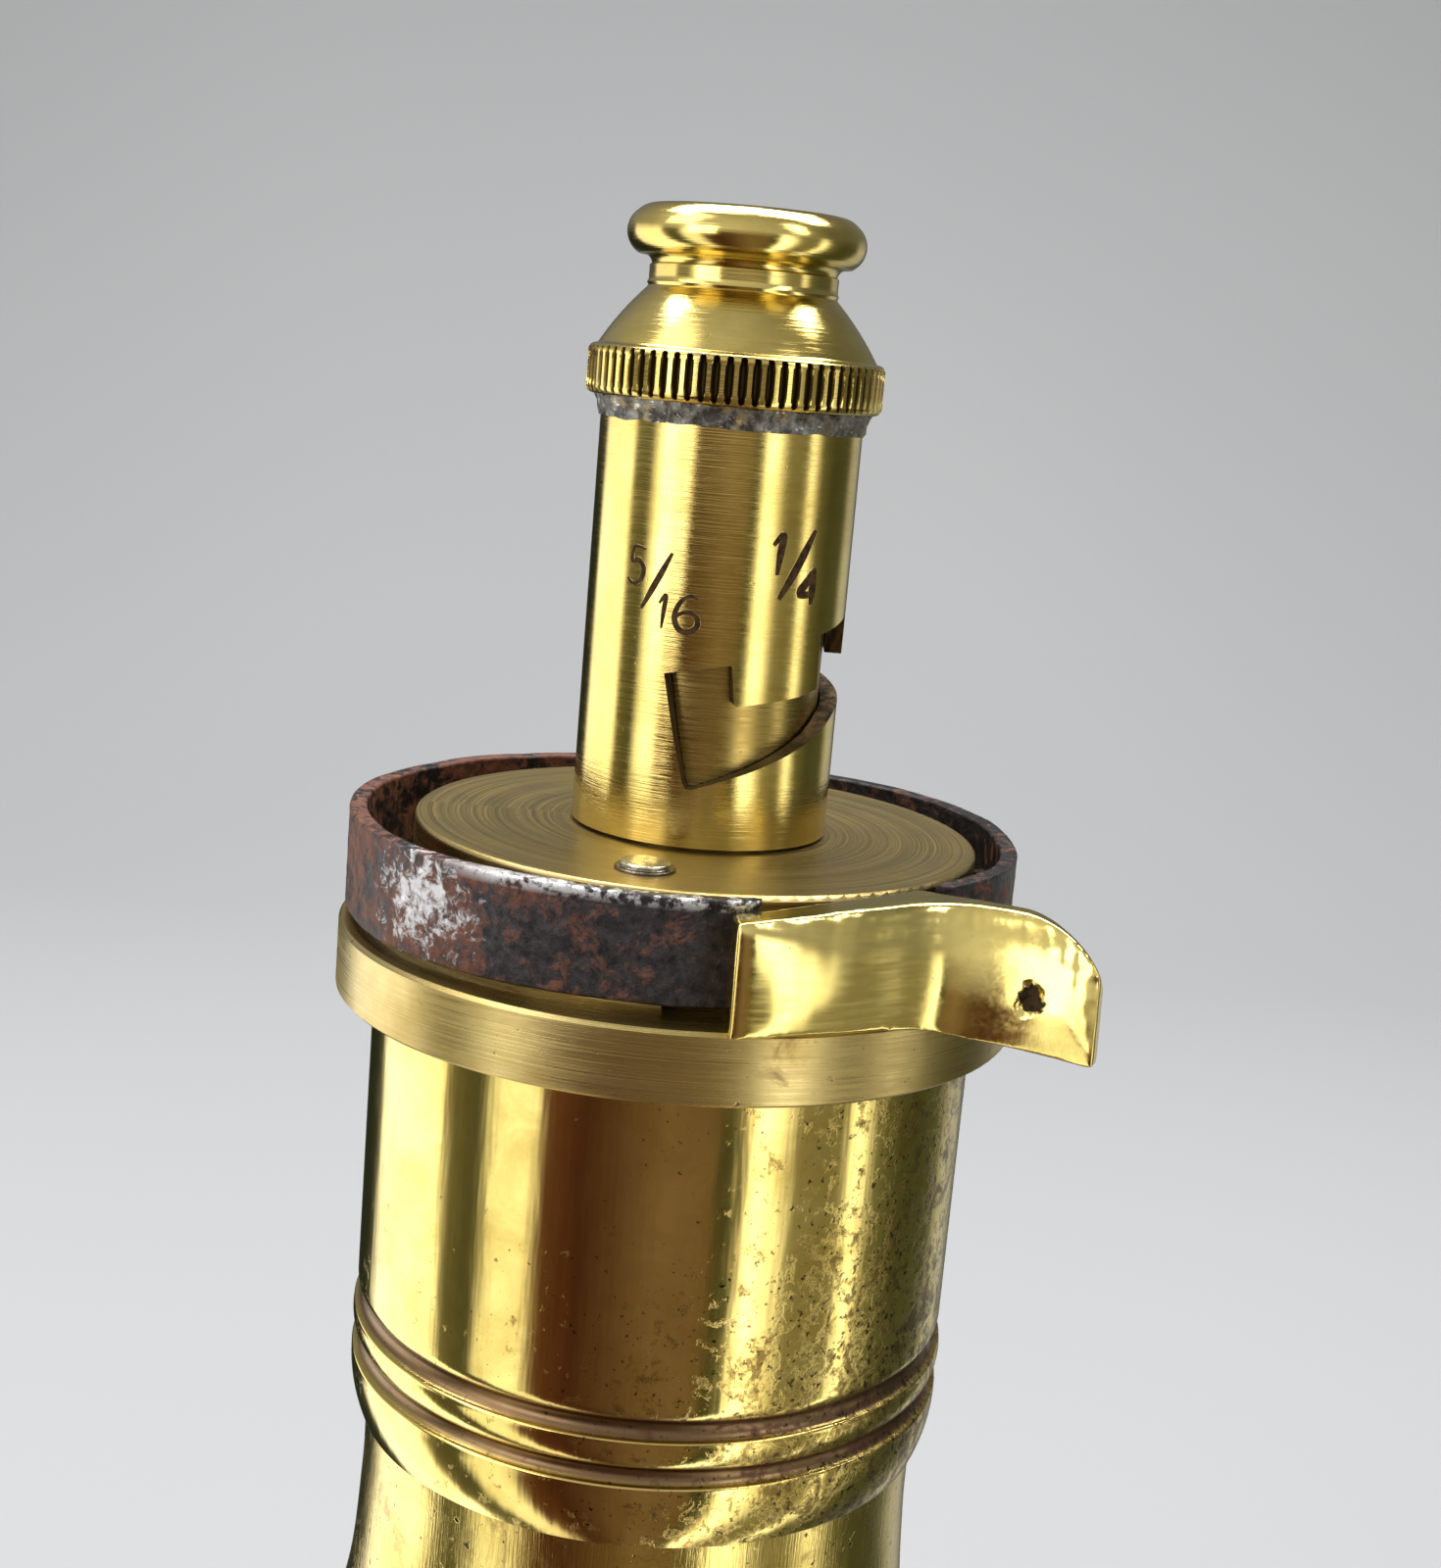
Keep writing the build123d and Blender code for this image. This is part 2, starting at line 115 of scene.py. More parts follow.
def arc(first, middle, last, steps=10):
    """Points of the circle from first through middle to last, without the first point."""
    ax, ay = first
    bx, by = middle
    cx, cy = last
    a_squared = ax * ax + ay * ay
    b_squared = bx * bx + by * by
    c_squared = cx * cx + cy * cy
    d = 2 * (ax * (by - cy) + bx * (cy - ay) + cx * (ay - by))
    ux = (a_squared * (by - cy) + b_squared * (cy - ay) + c_squared * (ay - by)) / d
    uy = (a_squared * (cx - bx) + b_squared * (ax - cx) + c_squared * (bx - ax)) / d
    radius = math.hypot(ax - ux, ay - uy)
    a0 = math.atan2(ay - uy, ax - ux)
    a1 = math.atan2(by - uy, bx - ux)
    a2 = math.atan2(cy - uy, cx - ux)
    turn = (a2 - a0) % (2 * math.pi)
    if (a1 - a0) % (2 * math.pi) > turn:
        turn -= 2 * math.pi
    points = []
    for step in range(1, steps + 1):
        angle = a0 + turn * step / steps
        points.append((ux + radius * math.cos(angle), uy + radius * math.sin(angle)))
    return points


def share(value, whole):
    """How much of the whole a value is, from none to all of it."""
    return min(1.0, max(0.0, value / whole))


def outline(start, *steps):
    """(radius, height) points in millimetres; a step of two points is an arc's middle and end."""
    points = [start]
    for step in steps:
        if isinstance(step[0], tuple):
            points += arc(points[-1], step[0], step[1])
        else:
            points.append(step)
    return points


def fine(points, gap):
    """The outline with long straight runs divided."""
    result = []
    for index, (r, z) in enumerate(points):
        next_r, next_z = points[(index + 1) % len(points)]
        count = max(1, math.ceil(math.hypot(next_r - r, next_z - z) / gap))
        for step in range(count):
            t = step / count
            result.append((r + (next_r - r) * t, z + (next_z - z) * t))
    return result


def smooth_line(points, steps):
    """Catmull-Rom curve through the points."""
    result = []
    count = len(points)
    for i in range(count - 1):
        a = Vector(points[max(i - 1, 0)])
        b = Vector(points[i])
        c = Vector(points[i + 1])
        d = Vector(points[min(i + 2, count - 1)])
        for step in range(steps):
            t = step / steps
            result.append(0.5 * ((2 * b) + (c - a) * t + (2 * a - 5 * b + 4 * c - d) * t * t
                                 + (3 * b - a - 3 * c + d) * t ** 3))
    result.append(Vector(points[-1]))
    return result


def lathe(name, points, material, body, x=0.0, replaces=(), steps=288, shape=None, sharp_deg=32):
    """Closed outline in millimetres turned round an upright axis; shape may move each point."""
    verts = []
    faces = []
    rows = len(points)
    for step in range(steps):
        angle = 2 * math.pi * step / steps
        for r, z in points:
            if shape:
                r, z = shape(r, z, angle)
            verts.append((x + r * MM * math.cos(angle), r * MM * math.sin(angle), z * MM))
    for step in range(steps):
        here = step * rows
        there = ((step + 1) % steps) * rows
        for row in range(rows):
            after = (row + 1) % rows
            faces.append((here + row, there + row, there + after, here + after))
    return add_piece(name, verts, faces, material, body, replaces, sharp_deg)


# ---- materials -------------------------------------------------------------------------

class Nodes:
    """Short calls for building a node tree."""

    def __init__(self, tree):
        self.tree = tree

    def node(self, kind, inputs=(), **settings):
        made = self.tree.nodes.new(kind)
        for key, value in settings.items():
            setattr(made, key, value)
        for key, value in dict(inputs).items():
            if isinstance(value, bpy.types.NodeSocket):
                self.tree.links.new(value, made.inputs[key])
            else:
                made.inputs[key].default_value = value
        return made

    def math(self, operation, *values):
        made = self.node("ShaderNodeMath", dict(enumerate(values)), operation=operation)
        return made.outputs[0]

    def noise(self, vector, scale, detail=4.0, rough=0.55, distortion=0.0):
        made = self.node("ShaderNodeTexNoise", {
            "Vector": vector, "Scale": scale, "Detail": detail, "Roughness": rough, "Distortion": distortion})
        return made.outputs["Fac"]

    def band(self, value, low, high, to_low=0.0, to_high=1.0):
        made = self.node("ShaderNodeMapRange", {
            "Value": value, "From Min": low, "From Max": high, "To Min": to_low, "To Max": to_high})
        made.clamp = True
        return made.outputs["Result"]

    def mix(self, amount, first, second):
        made = self.node("ShaderNodeMix", data_type="RGBA")
        for key, value in ((0, amount), (6, first), (7, second)):
            if isinstance(value, bpy.types.NodeSocket):
                self.tree.links.new(value, made.inputs[key])
            else:
                made.inputs[key].default_value = value
        return made.outputs[2]

    def split(self, vector):
        return self.node("ShaderNodeSeparateXYZ", {"Vector": vector}).outputs

    def join(self, x, y, z):
        return self.node("ShaderNodeCombineXYZ", {"X": x, "Y": y, "Z": z}).outputs[0]

    def stretch(self, vector, scale):
        return self.node("ShaderNodeMapping", {"Vector": vector, "Scale": scale}).outputs[0]


class Graph(Nodes):
    """The nodes of one material."""

    def __init__(self, name):
        self.material = bpy.data.materials.new(name)
        self.material.use_nodes = True
        super().__init__(self.material.node_tree)
        self.shader = self.tree.nodes["Principled BSDF"]
        self.place = self.node("ShaderNodeTexCoord").outputs["Object"]

    def radius(self, centre_x):
        """Distance from an upright axis."""
        x, y, _ = self.split(self.place)
        x = self.math("SUBTRACT", x, centre_x)
        return self.math("SQRT", self.math("ADD", self.math("MULTIPLY", x, x), self.math("MULTIPLY", y, y)))

    def turned(self, centre_x, along, across):
        """Coordinates that run round an upright axis: lathe and brushing marks follow them."""
        x, y, z = self.split(self.place)
        turn = self.math("ARCTAN2", y, self.math("SUBTRACT", x, centre_x))
        return self.join(
            self.math("MULTIPLY", self.radius(centre_x), across),
            self.math("MULTIPLY", turn, along),
            self.math("MULTIPLY", z, across))

    def bump(self, height, distance, strength=1.0, normal=None):
        inputs = {"Height": height, "Distance": distance, "Strength": strength}
        if normal is not None:
            inputs["Normal"] = normal
        return self.node("ShaderNodeBump", inputs).outputs[0]

    def finish(self, colour, rough, normal, metallic=1.0):
        """Joins the surface's parts to its shader."""
        parts = {"Base Color": colour, "Roughness": rough, "Normal": normal, "Metallic": metallic}
        for key, value in parts.items():
            if isinstance(value, bpy.types.NodeSocket):
                self.tree.links.new(value, self.shader.inputs[key])
            else:
                self.shader.inputs[key].default_value = value
        return self.material


BRASS = (0.74, 0.59, 0.20, 1)
BRASS_DEEP = (0.58, 0.43, 0.12, 1)
BRASS_OLIVE = (0.33, 0.26, 0.08, 1)
TARNISH = (0.17, 0.075, 0.030, 1)
# Near black: real grime in the specks, and painted shade where a shade mask darkens recesses and shaded
# patches
GRIME_AND_SHADE = (0.035, 0.022, 0.012, 1)


def brass(name, centre_x=0.0, *, rough, brush, along, across, tarnish, spots, upright=False, base=BRASS,
          other=BRASS_DEEP, painted_shade=None):
    """Old brass: brushed marks, cloudy tone, brown tarnish in patches, dark specks, and painted shade where a
    shade mask is given.
    """
    g = Graph(name)
    if upright:
        x, y, z = g.split(g.place)
        turn = g.math("ARCTAN2", y, x)
        marks_place = g.join(
            g.math("MULTIPLY", turn, across * 0.012), g.math("MULTIPLY", z, along * 300), 0.0)
    else:
        marks_place = g.turned(centre_x, along, across)
    marks = g.noise(marks_place, 1.0, 3.0, 0.6)
    coarse = g.noise(g.turned(centre_x, 3.0, 1400.0), 1.0, 4.0, 0.6)
    cloud = g.noise(g.place, 260.0, 5.0, 0.6)
    patch = g.noise(g.place, 420.0, 8.0, 0.7, 0.6)
    speck = g.noise(g.place, 2600.0, 3.0, 0.5)
    tone = g.mix(g.band(cloud, 0.35, 0.68), base, other)
    tone = g.mix(g.band(coarse, 0.3, 0.75, 0.0, 0.25), tone, BRASS_OLIVE)
    stain = g.band(patch, 0.70 - 0.25 * tarnish, 0.86 - 0.22 * tarnish, 0.0, 0.75)
    tone = g.mix(stain, tone, TARNISH)
    dots = g.band(speck, 0.74 - 0.08 * spots, 0.80 - 0.08 * spots, 0.0, spots)
    tone = g.mix(dots, tone, GRIME_AND_SHADE)
    shine = g.band(g.math("ADD", marks, g.math("MULTIPLY", cloud, 0.6)), 0.6, 1.05, rough[0], rough[1])
    shine = g.math("ADD", shine, g.math("MULTIPLY", stain, 0.25))
    # Painted shade: the given mask darkens the colour towards near black and roughens it
    if painted_shade:
        painted_shade_mask = painted_shade(g)
        tone = g.mix(painted_shade_mask, tone, GRIME_AND_SHADE)
        shine = g.math("ADD", shine, g.math("MULTIPLY", painted_shade_mask, 0.4))
    height = g.math("ADD", g.math("MULTIPLY", marks, brush), g.math("MULTIPLY", coarse, brush * 0.5))
    normal = g.bump(height, 0.00002, 1.0)
    pits = g.bump(g.math("SUBTRACT", 1.0, dots), 0.00002, 0.6, normal)
    return g.finish(tone, shine, pits)


def polished_collar(name):
    """Bright drawn brass: soft upright streaks, freckled tarnish low on the right, a painted brown reflection
    down the front, and painted shade in the grooves.
    """
    g = Graph(name)
    x, y, z = g.split(g.place)
    turn = g.math("ARCTAN2", x, g.math("MULTIPLY", y, -1.0))
    streak = g.noise(g.join(g.math("MULTIPLY", turn, 5.0), g.math("MULTIPLY", z, 40.0), 0.0), 1.0, 4.0, 0.55)
    cloud = g.noise(g.place, 330.0, 6.0, 0.65, 0.5)
    freckle = g.noise(g.place, 1500.0, 6.0, 0.72, 0.3)
    fine_speck = g.noise(g.place, 3600.0, 3.0, 0.6)
    to_right = g.band(turn, -0.35, 0.75)
    to_foot = g.band(z, -4.0 * MM, -11.5 * MM)
    worst = g.math("ADD", g.math("MULTIPLY", to_right, 0.17), g.math("MULTIPLY", to_foot, 0.07))
    tone = g.mix(g.band(cloud, 0.36, 0.64), BRASS, BRASS_DEEP)
    # Painted reflection: a brown stripe down the front of the collar
    middle = g.band(g.math("ABSOLUTE", g.math("ADD", turn, 0.02)), 0.10, 0.42, 1.0, 0.0)
    tone = g.mix(g.math("MULTIPLY", middle, 0.40), tone, (0.48, 0.31, 0.12, 1))
    level = g.math("ADD", g.math("ADD", freckle, g.math("MULTIPLY", cloud, 0.35)), worst)
    stain = g.band(level, 0.86, 0.99, 0.0, 0.8)
    tone = g.mix(stain, tone, (0.13, 0.075, 0.02, 1))
    # Painted shade: dark brown in the coved grooves
    groove = g.band(z, -13.0 * MM, -13.35 * MM)
    painted_shade_mask = g.math("MULTIPLY", groove, g.band(g.radius(0.0), 12.74 * MM, 12.56 * MM))
    above_foot = g.math("MULTIPLY", painted_shade_mask, g.band(z, -16.3 * MM, -15.9 * MM))
    tone = g.mix(g.math("MULTIPLY", above_foot, 0.85), tone, (0.10, 0.045, 0.040, 1))
    dots = g.band(g.math("ADD", fine_speck, g.math("MULTIPLY", worst, 0.6)), 0.71, 0.77, 0.0, 0.85)
    tone = g.mix(dots, tone, GRIME_AND_SHADE)
    shine = g.band(g.math("ADD", streak, cloud), 0.7, 1.3, 0.07, 0.17)
    shine = g.math("ADD", shine, g.math("MULTIPLY", stain, 0.22))
    shine = g.math("ADD", shine, g.math("MULTIPLY", above_foot, 0.2))
    normal = g.bump(streak, 0.00006, 0.5)
    wave = g.noise(g.join(g.math("MULTIPLY", turn, 2.2), g.math("MULTIPLY", z, 120.0), 3.0), 1.0, 2.0, 0.5)
    normal = g.bump(wave, 0.00012, 0.5, normal)
    return g.finish(tone, shine, g.bump(g.math("SUBTRACT", 1.0, stain), 0.00001, 0.5, normal))


# Where handling has rubbed the spring bright
WORN_SPOT = (-9.3 * MM, -9.0 * MM, 5.6 * MM)


def rusted_steel(name):
    """Old spring: red-brown rust, blue-black scale, worn bright patches, and a painted highlight along the
    top edge at the front.
    """
    g = Graph(name)
    g.place = g.node("ShaderNodeAttribute", attribute_name="rest_place").outputs["Vector"]
    x, y, z = g.split(g.place)
    broad = g.noise(g.place, 330.0, 6.0, 0.65, 0.4)
    grain = g.noise(g.place, 2300.0, 6.0, 0.7)
    flakes = g.noise(g.place, 1300.0, 8.0, 0.78, 0.8)
    scale = g.mix(g.band(grain, 0.35, 0.7), (0.016, 0.014, 0.016, 1), (0.060, 0.054, 0.058, 1))
    rust = g.mix(g.band(grain, 0.4, 0.65), (0.060, 0.018, 0.010, 1), (0.17, 0.055, 0.024, 1))
    level = g.math("ADD", g.math("MULTIPLY", flakes, 0.75), g.math("MULTIPLY", broad, 0.55))
    to_left = g.band(x, -2.0 * MM, -10.0 * MM, 0.0, 0.07)
    rust_mask = g.band(g.math("ADD", level, to_left), 0.675, 0.745)
    tone = g.mix(rust_mask, scale, rust)
    from_worn_spot = g.node("ShaderNodeVectorMath", {0: g.place, 1: WORN_SPOT}, operation="DISTANCE")
    near = g.band(from_worn_spot.outputs["Value"], 0.0, 5.0 * MM, 0.33, 0.0)
    worn = g.band(g.math("ADD", g.noise(g.place, 1500.0, 8.0, 0.75, 0.5), near), 0.70, 0.82, 0.0, 0.9)
    # Painted highlight: a bright band along the spring's top edge at the front
    painted_top_highlight = g.math("MULTIPLY", g.band(z, 6.95 * MM, 7.3 * MM), g.band(y, -10.0 * MM, -11.5 * MM))
    painted_top_highlight = g.math("MULTIPLY", painted_top_highlight, g.band(g.math("ADD", grain, broad), 0.90, 1.02, 0.0, 0.8))
    # From here on worn holds both the real worn spot and the painted top-edge highlight
    worn = g.math("MAXIMUM", worn, painted_top_highlight)
    tone = g.mix(worn, tone, (0.72, 0.72, 0.74, 1))
    metal = g.band(rust_mask, 0.0, 1.0, 0.85, 0.15)
    rough = g.math("ADD", g.band(rust_mask, 0.0, 1.0, 0.32, 0.62), g.math("MULTIPLY", worn, -0.06))
    height = g.math("ADD", g.math("MULTIPLY", flakes, 0.8), g.math("MULTIPLY", grain, 0.5))
    return g.finish(tone, rough, g.bump(height, 0.00009, 1.0), metal)


def solder(name):
    """Dull grey soft solder, lumpy, with brass showing through."""
    g = Graph(name)
    lump = g.noise(g.place, 1500.0, 6.0, 0.7)
    tone = g.mix(g.band(lump, 0.42, 0.68), (0.055, 0.050, 0.045, 1), (0.36, 0.35, 0.32, 1))
    fleck = g.band(g.noise(g.stretch(g.place, (1400.0, 1400.0, 3200.0)), 1.0, 5.0, 0.7), 0.60, 0.66)
    tone = g.mix(fleck, tone, (0.80, 0.79, 0.74, 1))
    brassy = g.band(g.noise(g.place, 900.0, 4.0, 0.6), 0.58, 0.66, 0.0, 0.7)
    tone = g.mix(brassy, tone, (0.34, 0.24, 0.09, 1))
    return g.finish(tone, g.band(lump, 0.3, 0.7, 0.28, 0.55), g.bump(lump, 0.00012), 0.9)


def engraved(name):
    """Dark fill of the punched numerals: old grime, and painted shade of a groove, as the strips lie on the
    sleeve.
    """
    g = Graph(name)
    grain = g.noise(g.place, 4000.0, 3.0, 0.6)
    tone = g.mix(g.band(grain, 0.4, 0.6), (0.030, 0.017, 0.008, 1), (0.075, 0.042, 0.016, 1))
    g.shader.inputs["Specular IOR Level"].default_value = 0.1
    return g.finish(tone, 0.8, g.bump(grain, 0.00003), 0.0)


def worn_steel(name):
    """Pin steel, bright on its dome, with a painted shadow where it meets the boss."""
    g = Graph(name)
    grain = g.noise(g.place, 2600.0, 5.0, 0.6)
    _, _, z = g.split(g.place)
    tone = g.mix(g.band(grain, 0.42, 0.62), (0.72, 0.68, 0.58, 1), (0.38, 0.33, 0.25, 1))
    # Painted shadow: a dark ring where the pin meets the boss
    base = g.band(z, boss_top + 0.20 * MM, boss_top + 0.10 * MM, 0.0, 0.85)
    tone = g.mix(base, tone, (0.10, 0.075, 0.05, 1))
    return g.finish(tone, g.band(grain, 0.3, 0.7, 0.12, 0.35), g.bump(grain, 0.00004), 1.0)


def knurl_painted_shade(g):
    """Painted shade: black in the bottoms of the knurls."""
    _, _, z = g.split(g.place)
    low = mouth_low[2]
    above_foot = g.band(z, low + 0.02 * MM, low + 0.10 * MM)
    below_top = g.band(z, low + 1.90 * MM, low + 1.80 * MM)
    painted_shade_mask = g.band(g.radius(charger_x), 5.975 * MM, 5.88 * MM, 0.0, 0.95)
    return g.math("MULTIPLY", g.math("MULTIPLY", above_foot, below_top), painted_shade_mask)


def casting_pit(g):
    """Painted shade: black in the pit near the lever's tail."""
    x, y, z = g.split(g.place)
    across = g.math("SUBTRACT", x, 13.15 * MM)
    up = g.math("MULTIPLY", g.math("SUBTRACT", z, 4.45 * MM), 0.75)
    away = g.math("SQRT", g.math("ADD", g.math("MULTIPLY", across, across), g.math("MULTIPLY", up, up)))
    ragged = g.math("ADD", away, g.math("MULTIPLY", g.noise(g.place, 2100.0, 3.0, 0.6), 0.62 * MM))
    front = g.band(y, -10.8 * MM, -11.2 * MM)
    return g.math("MULTIPLY", front, g.band(ragged, 0.78 * MM, 0.68 * MM))


def tube_painted_shade(g):
    """Painted shade: a dark patch on the right of the inner tube."""
    x, _, _ = g.split(g.place)
    side = g.band(x, charger_x + 3.9 * MM, charger_x + 4.4 * MM, 0.0, 0.35)
    return g.math("MULTIPLY", side, g.band(g.noise(g.place, 700.0, 4.0, 0.6), 0.35, 0.6))


def dark_wall(name):
    """Filed wall of the slot and the sleeve's inside face, black-brown: tarnish with age, and painted shade.
    """
    g = Graph(name)
    grain = g.noise(g.stretch(g.place, (3000.0, 3000.0, 900.0)), 1.0, 3.0, 0.6)
    tone = g.mix(g.band(grain, 0.4, 0.65), (0.020, 0.013, 0.007, 1), (0.10, 0.06, 0.02, 1))
    return g.finish(tone, g.band(grain, 0.3, 0.7, 0.35, 0.55), g.bump(grain, 0.00003), 0.8)


sleeve_brass = brass("sleeve_brass", charger_x, rough=(0.08, 0.20), brush=0.36, along=1.5, across=16000.0,
                     tarnish=0.12, spots=0.3)
mouth_brass = brass("mouth_brass", charger_x, rough=(0.08, 0.21), brush=0.40, along=0.8, across=14000.0,
                    tarnish=0.1, spots=0.25, painted_shade=knurl_painted_shade)
boss_brass = brass("boss_brass", boss_x, rough=(0.26, 0.42), brush=0.9, along=0.5, across=9000.0,
                   tarnish=0.25, spots=0.35, base=(0.44, 0.33, 0.14, 1), other=(0.32, 0.23, 0.08, 1))
flange_brass = brass("flange_brass", rough=(0.24, 0.40), brush=0.6, along=1.2, across=14000.0, tarnish=0.42,
                     spots=0.6, base=(0.54, 0.42, 0.18, 1), other=(0.40, 0.29, 0.10, 1))
collar_brass = polished_collar("collar_brass")
lever_brass = brass("lever_brass", rough=(0.12, 0.24), brush=0.12, along=6.0, across=5000.0, tarnish=0.08,
                    spots=0.25, base=(0.82, 0.67, 0.24, 1), other=(0.70, 0.54, 0.16, 1), painted_shade=casting_pit)
body_brass = brass("body_brass", rough=(0.10, 0.24), brush=0.45, along=1.5, across=9000.0, tarnish=0.72,
                   spots=0.85, upright=True)
inner_brass = brass("inner_brass", charger_x, rough=(0.20, 0.36), brush=0.5, along=1.5, across=12000.0,
                    tarnish=0.3, spots=0.5, base=(0.46, 0.34, 0.11, 1), other=(0.36, 0.25, 0.07, 1),
                    painted_shade=tube_painted_shade)
slot_tarnish_and_shade = dark_wall("slot_tarnish_and_shade")
spring_steel = rusted_steel("spring_steel")
grey_solder = solder("grey_solder")
numeral_grime_and_shade = engraved("numeral_grime_and_shade")
pin_steel = worn_steel("pin_steel")


def paint(node, material):
    """A CAD node keeps its shape and gets a better material."""
    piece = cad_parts[node]
    piece.data.materials.clear()
    piece.data.materials.append(material)


for node, material in (
    ("body_front_shell", body_brass), ("body_back_shell", body_brass), ("body_seam_solder", grey_solder),
    ("collar", collar_brass), ("collar_solder", grey_solder), ("collar_thread_ring", inner_brass),
    ("head_base", flange_brass), ("top_boss", boss_brass), ("boss_rivets", flange_brass),
    ("pivot_pin", pin_steel), ("lever_spring", spring_steel), ("spring_peg", pin_steel),
    ("cutoff_plate", inner_brass), ("thumb_lever", lever_brass), ("lever_rivets", lever_brass),
    ("charger_tube", inner_brass), ("tube_solder", grey_solder), ("charger_lug", inner_brass),
    ("charger_sleeve", sleeve_brass), ("charger_mouth", mouth_brass), ("mouth_solder", grey_solder),
):
    paint(node, material)

# ---- turned pieces ---------------------------------------------------------------------

# The knurled ring: grooves, their middle above its foot, half length, depth and half share of the pitch,
# and the radius outside which the ring is cut
KNURLS = 72
KNURL_MIDDLE = 0.98
KNURL_REACH = 0.88
KNURL_DEPTH = 0.30
KNURL_HALF = 0.29
KNURL_FLOOR_R = 5.7


def knurl_cut(r, z, angle):
    """Spindle-shaped grooves round the knurled ring."""
    low = mouth_low[2] / MM
    middle = low + KNURL_MIDDLE
    reach = (z - middle) / KNURL_REACH
    if r < KNURL_FLOOR_R or abs(reach) >= 1:
        return r, z
    phase = (angle * KNURLS / (2 * math.pi)) % 1.0 - 0.5
    half = KNURL_HALF * (1 - reach * reach) ** 0.22
    if abs(phase) >= half:
        return r, z
    return r - KNURL_DEPTH * math.sqrt(1 - (phase / half) ** 2), z


def add_mouthpiece():
    """Knurled ring, cone, neck and rolled lip, turned in one piece."""
    low = mouth_low[2] / MM
    points = outline(
        (4.62, low),
        (5.55, low),
        ((5.92, low + 0.08), (6.0, low + 0.3)),
        (6.0, low + 1.62),
        ((5.94, low + 1.86), (5.70, low + 1.98)),
        (5.62, low + 2.02),
        ((4.62, low + 3.45), (3.86, low + 4.30)),
        (3.80, low + 4.38),
        (3.86, low + 4.50),
        (3.80, low + 4.62),
        (3.80, low + 5.18),
        (3.72, low + 5.26),
        ((3.85, low + 5.48), (4.30, low + 5.60)),
        ((4.80, low + 6.42), (4.38, low + 7.28)),
        ((3.75, low + 7.55), (3.25, low + 7.40)),
        ((3.0, low + 7.2), (2.95, low + 6.8)),
        (2.95, low + 4.2),
        (4.62, low + 1.6),
    )
    lathe("mouthpiece", fine(points, 0.14), mouth_brass, "mouthpiece", charger_x,
          ["charger_mouth"], steps=KNURLS * 12, shape=knurl_cut, sharp_deg=40)


def lumpy(r, z, angle):
    """Uneven surface of solder run by hand."""
    spot = Vector((math.cos(angle) * 4, math.sin(angle) * 4, z * 1.6))
    return r + 0.07 * noise.fractal(spot, 0.8, 2.0, 4), z + 0.10 * noise.noise(spot * 1.7)


def add_mouth_solder():
    """Grey band under the knurled ring."""
    top = sleeve_high[2] / MM
    r = sleeve_r / MM
    points = outline(
        (r + 0.03, top - 0.85),
        (r + 0.08, top - 0.84),
        ((r + 0.19, top - 0.4), (r + 0.34, top - 0.02)),
        (r + 0.03, top - 0.02),
    )
    lathe("mouth_solder_band", fine(points, 0.12), grey_solder, "mouthpiece", charger_x,
          ["mouth_solder"], steps=360, shape=lumpy, sharp_deg=60)


def add_collar():
    """Drawn tube with two coved grooves and an ovolo foot."""
    low = collar_low[2] / MM
    points = outline(
        (11.9, -0.02),
        (12.55, -0.02),
        ((12.66, -0.06), (12.70, -0.18)),
        (12.70, -12.9),
        ((12.66, -13.15), (12.50, -13.45)),
        ((12.42, -13.85), (12.74, -14.16)),
        ((12.80, -14.2), (12.81, -14.28)),
        ((12.80, -14.9), (12.62, -15.35)),
        ((12.44, -15.75), (12.74, -16.08)),
        ((12.80, -16.12), (12.82, -16.2)),
        ((12.68, -17.75), (12.32, low + 0.05)),
        (12.18, low + 0.03),
        (12.18, -12.6),
        (11.9, -12.6),
    )
    lathe("collar_tube", fine(points, 0.5), collar_brass, "flask", 0.0, ["collar"],
          steps=360, sharp_deg=28)


def add_charger_tube():
    """Inner tube with a rounded rim, seen through the sleeve's slot."""
    low = tube_low[2] / MM
    high = tube_high[2] / MM
    points = outline(
        (3.92, low),
        (4.52, low),
        (4.52, high - 0.15),
        ((4.48, high - 0.04), (4.35, high)),
        (4.05, high),
        ((3.95, high - 0.04), (3.92, high - 0.15)),
    )
    lathe("inner_tube", fine(points, 1.0), inner_brass, "head", charger_x, ["charger_tube"],
          steps=240)


# The lever's pin, across and deep in millimetres
PIN = (-1.5, -8.6)


def add_pivot_pin():
    """Pin with a ringed base, a groove and a bright worn dome."""
    x, y = PIN
    top = boss_top / MM
    points = outline(
        (0.0, 1.93),
        (0.90, 1.93),
        (0.90, top - 0.05),
        (1.13, top - 0.01),
        ((1.19, top + 0.03), (1.13, top + 0.10)),
        (1.00, top + 0.11),
        (0.95, top + 0.16),
        ((0.99, top + 0.22), (0.92, top + 0.30)),
        ((0.55, top + 0.375), (0.0, top + 0.395)),
    )
    verts = []
    faces = []
    steps = 72
    rows = len(points)
    for step in range(steps):
        angle = 2 * math.pi * step / steps
        for r, z in points:
            verts.append(((x + r * math.cos(angle)) * MM, (y + r * math.sin(angle)) * MM, z * MM))
    for step in range(steps):
        here = step * rows
        there = ((step + 1) % steps) * rows
        for row in range(rows - 1):
            faces.append((here + row, there + row, there + row + 1, here + row + 1))
    add_piece("ringed_pin", verts, faces, pin_steel, "head", ["pivot_pin"], sharp_deg=40)


# ---- charger sleeve --------------------------------------------------------------------

# Where the rolled sheet's ends meet, and the width of the strips that it is cut into
SEAM_DEG = -100
STRIP_DEG = 1.5
SLEEVE_IN = 4.62
WORN_EDGE = 0.045

